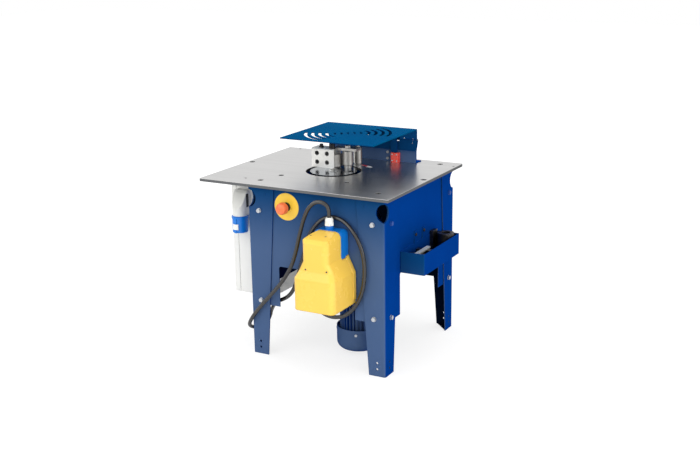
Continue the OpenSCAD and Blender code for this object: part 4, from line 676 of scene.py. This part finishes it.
finishes = {
    name: make(name, settings)
    for make, group in (
        (makePaint, {
            "bluePaint": bluePaint, "legPaint": legPaint, "panelPaint": panelPaint, "bandPaint": bandPaint,
            "trayPaint": trayPaint, "guardPaint": guardPaint,
        }),
        (makeMetal, {
            "groundSteel": groundSteel, "tableSteel": tableSteel, "discSteel": discSteel, "toolSteel": toolSteel,
            "blockSteel": blockSteel, "zincPlate": zincPlate, "paintedBolts": paintedBolts, "darkSteel": darkSteel,
            "blackOxideAndShade": blackOxideAndShade, "trayTools": trayTools,
        }),
        (makeMoulded, {
            "yellowPlastic": yellowPlastic, "blackPlastic": blackPlastic, "pedalBlue": pedalBlue,
            "whitePlastic": whitePlastic, "inletGrey": inletGrey, "greyPlastic": greyPlastic,
            "redPlastic": redPlastic, "switchRed": switchRed, "pointerRed": pointerRed,
            "labelFilm": labelFilm, "cableRubber": cableRubber,
        }),
    )
    for name, settings in group.items()
}

finishOf = {
    "legPaint": "leg_front_left leg_front_right leg_rear_left leg_rear_right",
    "panelPaint": "front_panel rear_panel left_panel right_panel",
    "bluePaint": "gearbox_housing motor_body fan_cowl terminal_box guard_bracket guard_tongue",
    "bandPaint": "guard_angle",
    "trayPaint": "accessory_tray",
    "guardPaint": "guard_plate",
    "tableSteel": "table_plate",
    "discSteel": "bending_disc",
    "groundSteel": "output_shaft rotor_shaft hinge_pin pedal_hook",
    "toolSteel": "centre_pin backing_plate jaw_wedge roller_pin bending_roller bridge_plate back_pin back_roller",
    "blockSteel": "bending_block",
    "blackOxideAndShade": "block_screws",
    "zincPlate": "frame_nuts gearbox_bolts disc_bolts cowl_screws guard_screws pedal_pin",
    "paintedBolts": "frame_bolts",
    "darkSteel": "table_screws",
    "trayTools": "tray_tools",
    "yellowPlastic": "pedal_hood",
    "blackPlastic": "cooling_fan estop_collar estop_plunger pedal_treadle cable_gland",
    "pedalBlue": "pedal_base inlet_collar",
    "whitePlastic": "enclosure_base enclosure_cover pedal_gland",
    "inletGrey": "inlet_housing",
    "greyPlastic": "control_gear",
    "redPlastic": "estop_mushroom",
    "switchRed": "interlock_switch",
    "pointerRed": "index_pointer",
    "labelFilm": "estop_label",
    "cableRubber": "pedal_cable",
}

for finish, names in finishOf.items():
    for name in names.split():
        nodes[name].data.materials.clear()
        nodes[name].data.materials.append(finishes[finish])
print("finishes on every node")


# the cable, swept smoothly in the place of its plain solid
cableLine, cableRun = smoothLine(np.array(cableSettings["route"]) * mm, cableSettings["step"])
cableMesh = meshFromGrid(
    "pedalCable", tubeGrid(cableLine, cableSettings["diameter"] / 2, cableSettings["sides"]),
    closeV=True, capStart=True, capEnd=True,
)
pedalCable = placeMesh("pedalCable", cableMesh, finishes["cableRubber"], "machine")
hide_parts("pedal_cable")
print("cable laid:", round(cableRun, 3), "m")


# small detail, in millimetres


def makeHeads(name, profile, sides, seats, finish):
    # small turned heads, one on each seat, which is a place and the axis that the head faces along
    grids = [aimGrid(turnedGrid(profile, sides), place, axis) for place, axis in seats]
    placeMesh(name, joinGrids(name, grids, closeV=True), finishes[finish], "machine")


hoodScrews = {
    "seats": [
        ((41.3, -357.2, 471.0), (0, -0.184, 0.983)),
        ((91.7, -353.3, 471.8), (0, -0.184, 0.983)),
        ((43.7, -398, 372.7), (0, -1, 0)),
        ((117.7, -397.3, 373.7), (0.272, -0.962, 0)),
    ],
    "rim": [(5.2, -0.3), (5.0, 0.1), (4.4, 0.6), (3.6, 0.75), (3.0, 0.5), (2.8, 0.1)],  # radius, height
    "head": [(2.9, -0.1), (2.5, 0.26), (1.6, 0.40), (0.05, 0.42)],
    "sides": 28,
}


def makeHoodScrews(s):
    makeHeads("hoodScrewRims", s["rim"], s["sides"], s["seats"], "yellowPlastic")
    makeHeads("hoodScrewHeads", s["head"], s["sides"], s["seats"], "darkSteel")


coverTrim = {
    "screws": [(y, z) for y in (-124, 148) for z in (172, 358, 544)],
    "face": -401.5,
    "head": [(4.3, -0.3), (4.3, 0.9), (3.9, 1.7), (3.0, 2.2), (1.9, 2.35), (1.7, 1.2), (0.05, 1.1)],
    "sides": 26,
    "seam": (-381.5, -380.0),
    "middle": (12, 358),
    "half": (148.6, 198.6),
    "corner": 5.5,
    "cornerSteps": 9,
    "thick": 3.0,
}


def makeCoverTrim(s):
    seats = [((s["face"], y, z), (-1, 0, 0)) for y, z in s["screws"]]
    makeHeads("coverScrews", s["head"], s["sides"], seats, "zincPlate")
    # the gasket's section is a small rectangle carried round a rounded rectangle between base and cover; its black
    # is partly painted shade of the seam
    loop, out = loopRing(s["half"], s["corner"], s["cornerSteps"])
    x0, x1 = s["seam"]
    rows = []
    for x, inset in ((x0, 0), (x1, 0), (x1, s["thick"]), (x0, s["thick"])):
        flat = loop - inset * out + np.array(s["middle"])
        rows.append(np.column_stack([np.full(len(flat), x), flat]))
    mesh = joinGrids("seamGasketShade", [np.stack(rows, 1)], closeU=True, closeV=True)
    placeMesh("seamGasketShade", mesh, finishes["blackPlastic"], "machine", smooth=False)


cornerRivets = {
    "front": (181, 264),  # X and Y of the pairs on the front and rear panels
    "side": (249, 201),  # and on the side panels
    "height": 557,
    "head": [(5.0, -0.4), (5.0, 0.5), (4.4, 1.4), (3.2, 2.0), (1.6, 2.35), (0.05, 2.45)],
    "sides": 26,
}


def makeCornerRivets(s):
    corners = [(sx, sy) for sx in (-1, 1) for sy in (-1, 1)]
    x, y = s["front"]
    seats = [((sx * x, sy * y, s["height"]), (0, sy, 0)) for sx, sy in corners]
    x, y = s["side"]
    seats += [((sx * x, sy * y, s["height"]), (sx, 0, 0)) for sx, sy in corners]
    makeHeads("cornerRivets", s["head"], s["sides"], seats, "bluePaint")


inletPad = {
    "centre": (-347.5, -174),
    "inner": 26.6,
    "outer": 30.2,
    "halfTurn": 21,  # degrees each way from straight ahead
    "heights": (402, 422),
    "edgeDrop": 0.6,  # how much lower its outer face is than its inner one at each end
    "steps": 13,
}


def makeInletPad(s):
    # a curved tile: x is r cos t, y is r sin t about the inlet's axis, at each corner of its section
    t = np.radians(-90 + np.linspace(-s["halfTurn"], s["halfTurn"], s["steps"]))
    x, y = s["centre"]
    z0, z1 = s["heights"]
    drop = s["edgeDrop"]
    rows = []
    for r, z in ((s["inner"], z0), (s["outer"], z0 + drop), (s["outer"], z1 - drop), (s["inner"], z1)):
        rows.append(np.column_stack([x + r * np.cos(t), y + r * np.sin(t), np.full(len(t), z)]))
    mesh = joinGrids("inletPad", [np.stack(rows, 1)], closeV=True, capStart=True, capEnd=True)
    placeMesh("inletPad", mesh, finishes["whitePlastic"], "machine", smooth=False)


hingeClip = {
    "x": 112,
    "axis": (233, 672),
    "wire": 0.9,
    "sides": 10,
    "step": 0.8,
    "lean": 0.35,
    "path": [  # down from the pin and back, before it leans
        (16, -1.5), (11, 2.2), (7, 4.2), (3, 5.0), (-1.5, 4.6), (-4.4, 2.2), (-4.9, -1.2), (-3.0, -4.2), (1, -5.0),
        (5, -4.4), (9, -5.8), (14, -7.6),
    ],
}


def makeHingeClip(s):
    # a bent wire round the hinge pin, its two legs pointing down and forwards
    down, back = np.array(s["path"], float).T
    y, z = s["axis"]
    x = np.full(len(down), s["x"])
    route = np.column_stack([x, y - s["lean"] * down + back, z - down - s["lean"] * back])
    line, _ = smoothLine(route, s["step"])
    tube = tubeGrid(line, s["wire"], s["sides"])
    mesh = joinGrids("hingeClip", [tube], closeV=True, capStart=True, capEnd=True)
    placeMesh("hingeClip", mesh, finishes["zincPlate"], "machine")


interlockTrim = {
    "screws": [(42, 204.5, 620), (60, 204.5, 620), (42, 204.5, 598), (60, 204.5, 598)],
    "head": [(2.6, -0.3), (2.6, 0.5), (2.0, 0.9), (1.0, 1.0), (0.9, 0.5), (0.05, 0.45)],
    "sides": 20,
}


def makeInterlockTrim(s):
    seats = [(place, (0, -1, 0)) for place in s["screws"]]
    makeHeads("interlockScrews", s["head"], s["sides"], seats, "zincPlate")


makeHoodScrews(hoodScrews)
makeCoverTrim(coverTrim)
makeCornerRivets(cornerRivets)
makeInletPad(inletPad)
makeHingeClip(hingeClip)
makeInterlockTrim(interlockTrim)
print("small detail made")


# floor and light

studio = {
    "floorHalf": 12,
    "floorColour": (0.90, 0.90, 0.90),
    "floorShown": 0.30,  # share of the floor's own light in the picture, which carries the shadow
    "floorLift": 0.76,  # added so that the lit floor reads as white
    "floorReach": (0.9, 2.4),  # metres from the middle between which the lift grows to all of it
    "worldStrength": 0.50,
    "unmirrored": ("cameraFill", "topSoft"),  # lamps that the steel table would show as white patches
    "lamps": {
        # place, aimed at, width, height, watts
        "keyFront": ((-1.2, -3.0, 2.2), (0, 0, 0.4), 3.2, 3.2, 46),
        "cameraFill": ((2.4, -2.6, 1.6), (0, 0, 0.4), 3.0, 2.6, 62),
        "rightSoft": ((3.0, -0.4, 1.3), (0, 0, 0.35), 1.6, 1.6, 15),
        "leftSoft": ((-2.6, 0.2, 1.8), (0, 0, 0.5), 1.6, 1.6, 22),
        "topSoft": ((0.3, 0.4, 3.0), (0, 0, 0.5), 2.4, 2.4, 34),
    },
}


def makeFloorPaper(s):
    # plain paper to every ray but the camera's, which sees it dimmed and lifted, and white far out
    material = bpy.data.materials.new("floorPaper")
    material.use_nodes = True
    tree = material.node_tree
    tree.nodes.clear()
    paper = addNode(tree, "ShaderNodeBsdfDiffuse", 0, 200)
    paper.inputs["Color"].default_value = (*s["floorColour"], 1)
    shown = addNode(tree, "ShaderNodeBsdfDiffuse", 0, 0)
    shown.inputs["Color"].default_value = (*[s["floorShown"]] * 3, 1)
    place = addNode(tree, "ShaderNodeTexCoord", -900, -200).outputs["Object"]
    reach = addNode(tree, "ShaderNodeVectorMath", -700, -200, operation="LENGTH")
    tree.links.new(place, reach.inputs[0])
    far = addStep(tree, reach.outputs["Value"], *s["floorReach"], -500, -200)
    rise = addMath(tree, "MULTIPLY", far, 1.0 - s["floorLift"], -300, -200)
    lift = addMath(tree, "ADD", rise, s["floorLift"], -150, -200)
    glow = addNode(tree, "ShaderNodeEmission", 0, -200)
    tree.links.new(lift, glow.inputs["Strength"])
    both = addNode(tree, "ShaderNodeAddShader", 200, -100)
    tree.links.new(shown.outputs[0], both.inputs[0])
    tree.links.new(glow.outputs[0], both.inputs[1])
    paths = addNode(tree, "ShaderNodeLightPath", 0, 500)
    mix = addNode(tree, "ShaderNodeMixShader", 400, 100)
    tree.links.new(paths.outputs["Is Camera Ray"], mix.inputs[0])
    tree.links.new(paper.outputs[0], mix.inputs[1])
    tree.links.new(both.outputs[0], mix.inputs[2])
    tree.links.new(mix.outputs[0], addNode(tree, "ShaderNodeOutputMaterial", 600, 100).inputs[0])
    return material


def makeWorld(s):
    # white to the camera and in reflections, dimmer as a source of light
    world = bpy.data.worlds.new("studio")
    bpy.context.scene.world = world
    world.use_nodes = True
    tree = world.node_tree
    tree.nodes.clear()
    paths = addNode(tree, "ShaderNodeLightPath", -700)
    seen = addMath(tree, "MAXIMUM", paths.outputs["Is Camera Ray"], paths.outputs["Is Glossy Ray"], -500)
    seen = addMath(tree, "MAXIMUM", seen, paths.outputs["Is Transmission Ray"], -300)
    dim = addNode(tree, "ShaderNodeBackground", -100, 100)
    dim.inputs["Strength"].default_value = s["worldStrength"]
    shown = addNode(tree, "ShaderNodeBackground", -100, -100)
    for node in (dim, shown):
        node.inputs["Color"].default_value = (1, 1, 1, 1)
    mix = addNode(tree, "ShaderNodeMixShader", 150)
    tree.links.new(seen, mix.inputs[0])
    tree.links.new(dim.outputs[0], mix.inputs[1])
    tree.links.new(shown.outputs[0], mix.inputs[2])
    tree.links.new(mix.outputs[0], addNode(tree, "ShaderNodeOutputWorld", 350).inputs[0])


def makeFloor(s):
    mesh = bpy.data.meshes.new("floor")
    half = s["floorHalf"]
    mesh.from_pydata([(-half, -half, 0), (half, -half, 0), (half, half, 0), (-half, half, 0)], [], [(0, 1, 2, 3)])
    floor = bpy.data.objects.new("floor", mesh)
    bpy.context.scene.collection.objects.link(floor)
    mesh.materials.append(makeFloorPaper(s))


def makeLamps(s):
    for name, (place, aim, width, height, watts) in s["lamps"].items():
        data = bpy.data.lights.new(name, "AREA")
        data.shape = "RECTANGLE"
        data.size, data.size_y, data.energy = width, height, watts
        lamp = bpy.data.objects.new(name, data)
        bpy.context.scene.collection.objects.link(lamp)
        lamp.location = place
        lamp.visible_glossy = name not in s["unmirrored"]
        lamp.rotation_mode = "QUATERNION"
        lamp.rotation_quaternion = (Vector(aim) - Vector(place)).to_track_quat("-Z", "Y")


makeWorld(studio)
makeFloor(studio)
makeLamps(studio)
bpy.context.scene.view_settings.view_transform = "Standard"
print("floor and lamps placed")
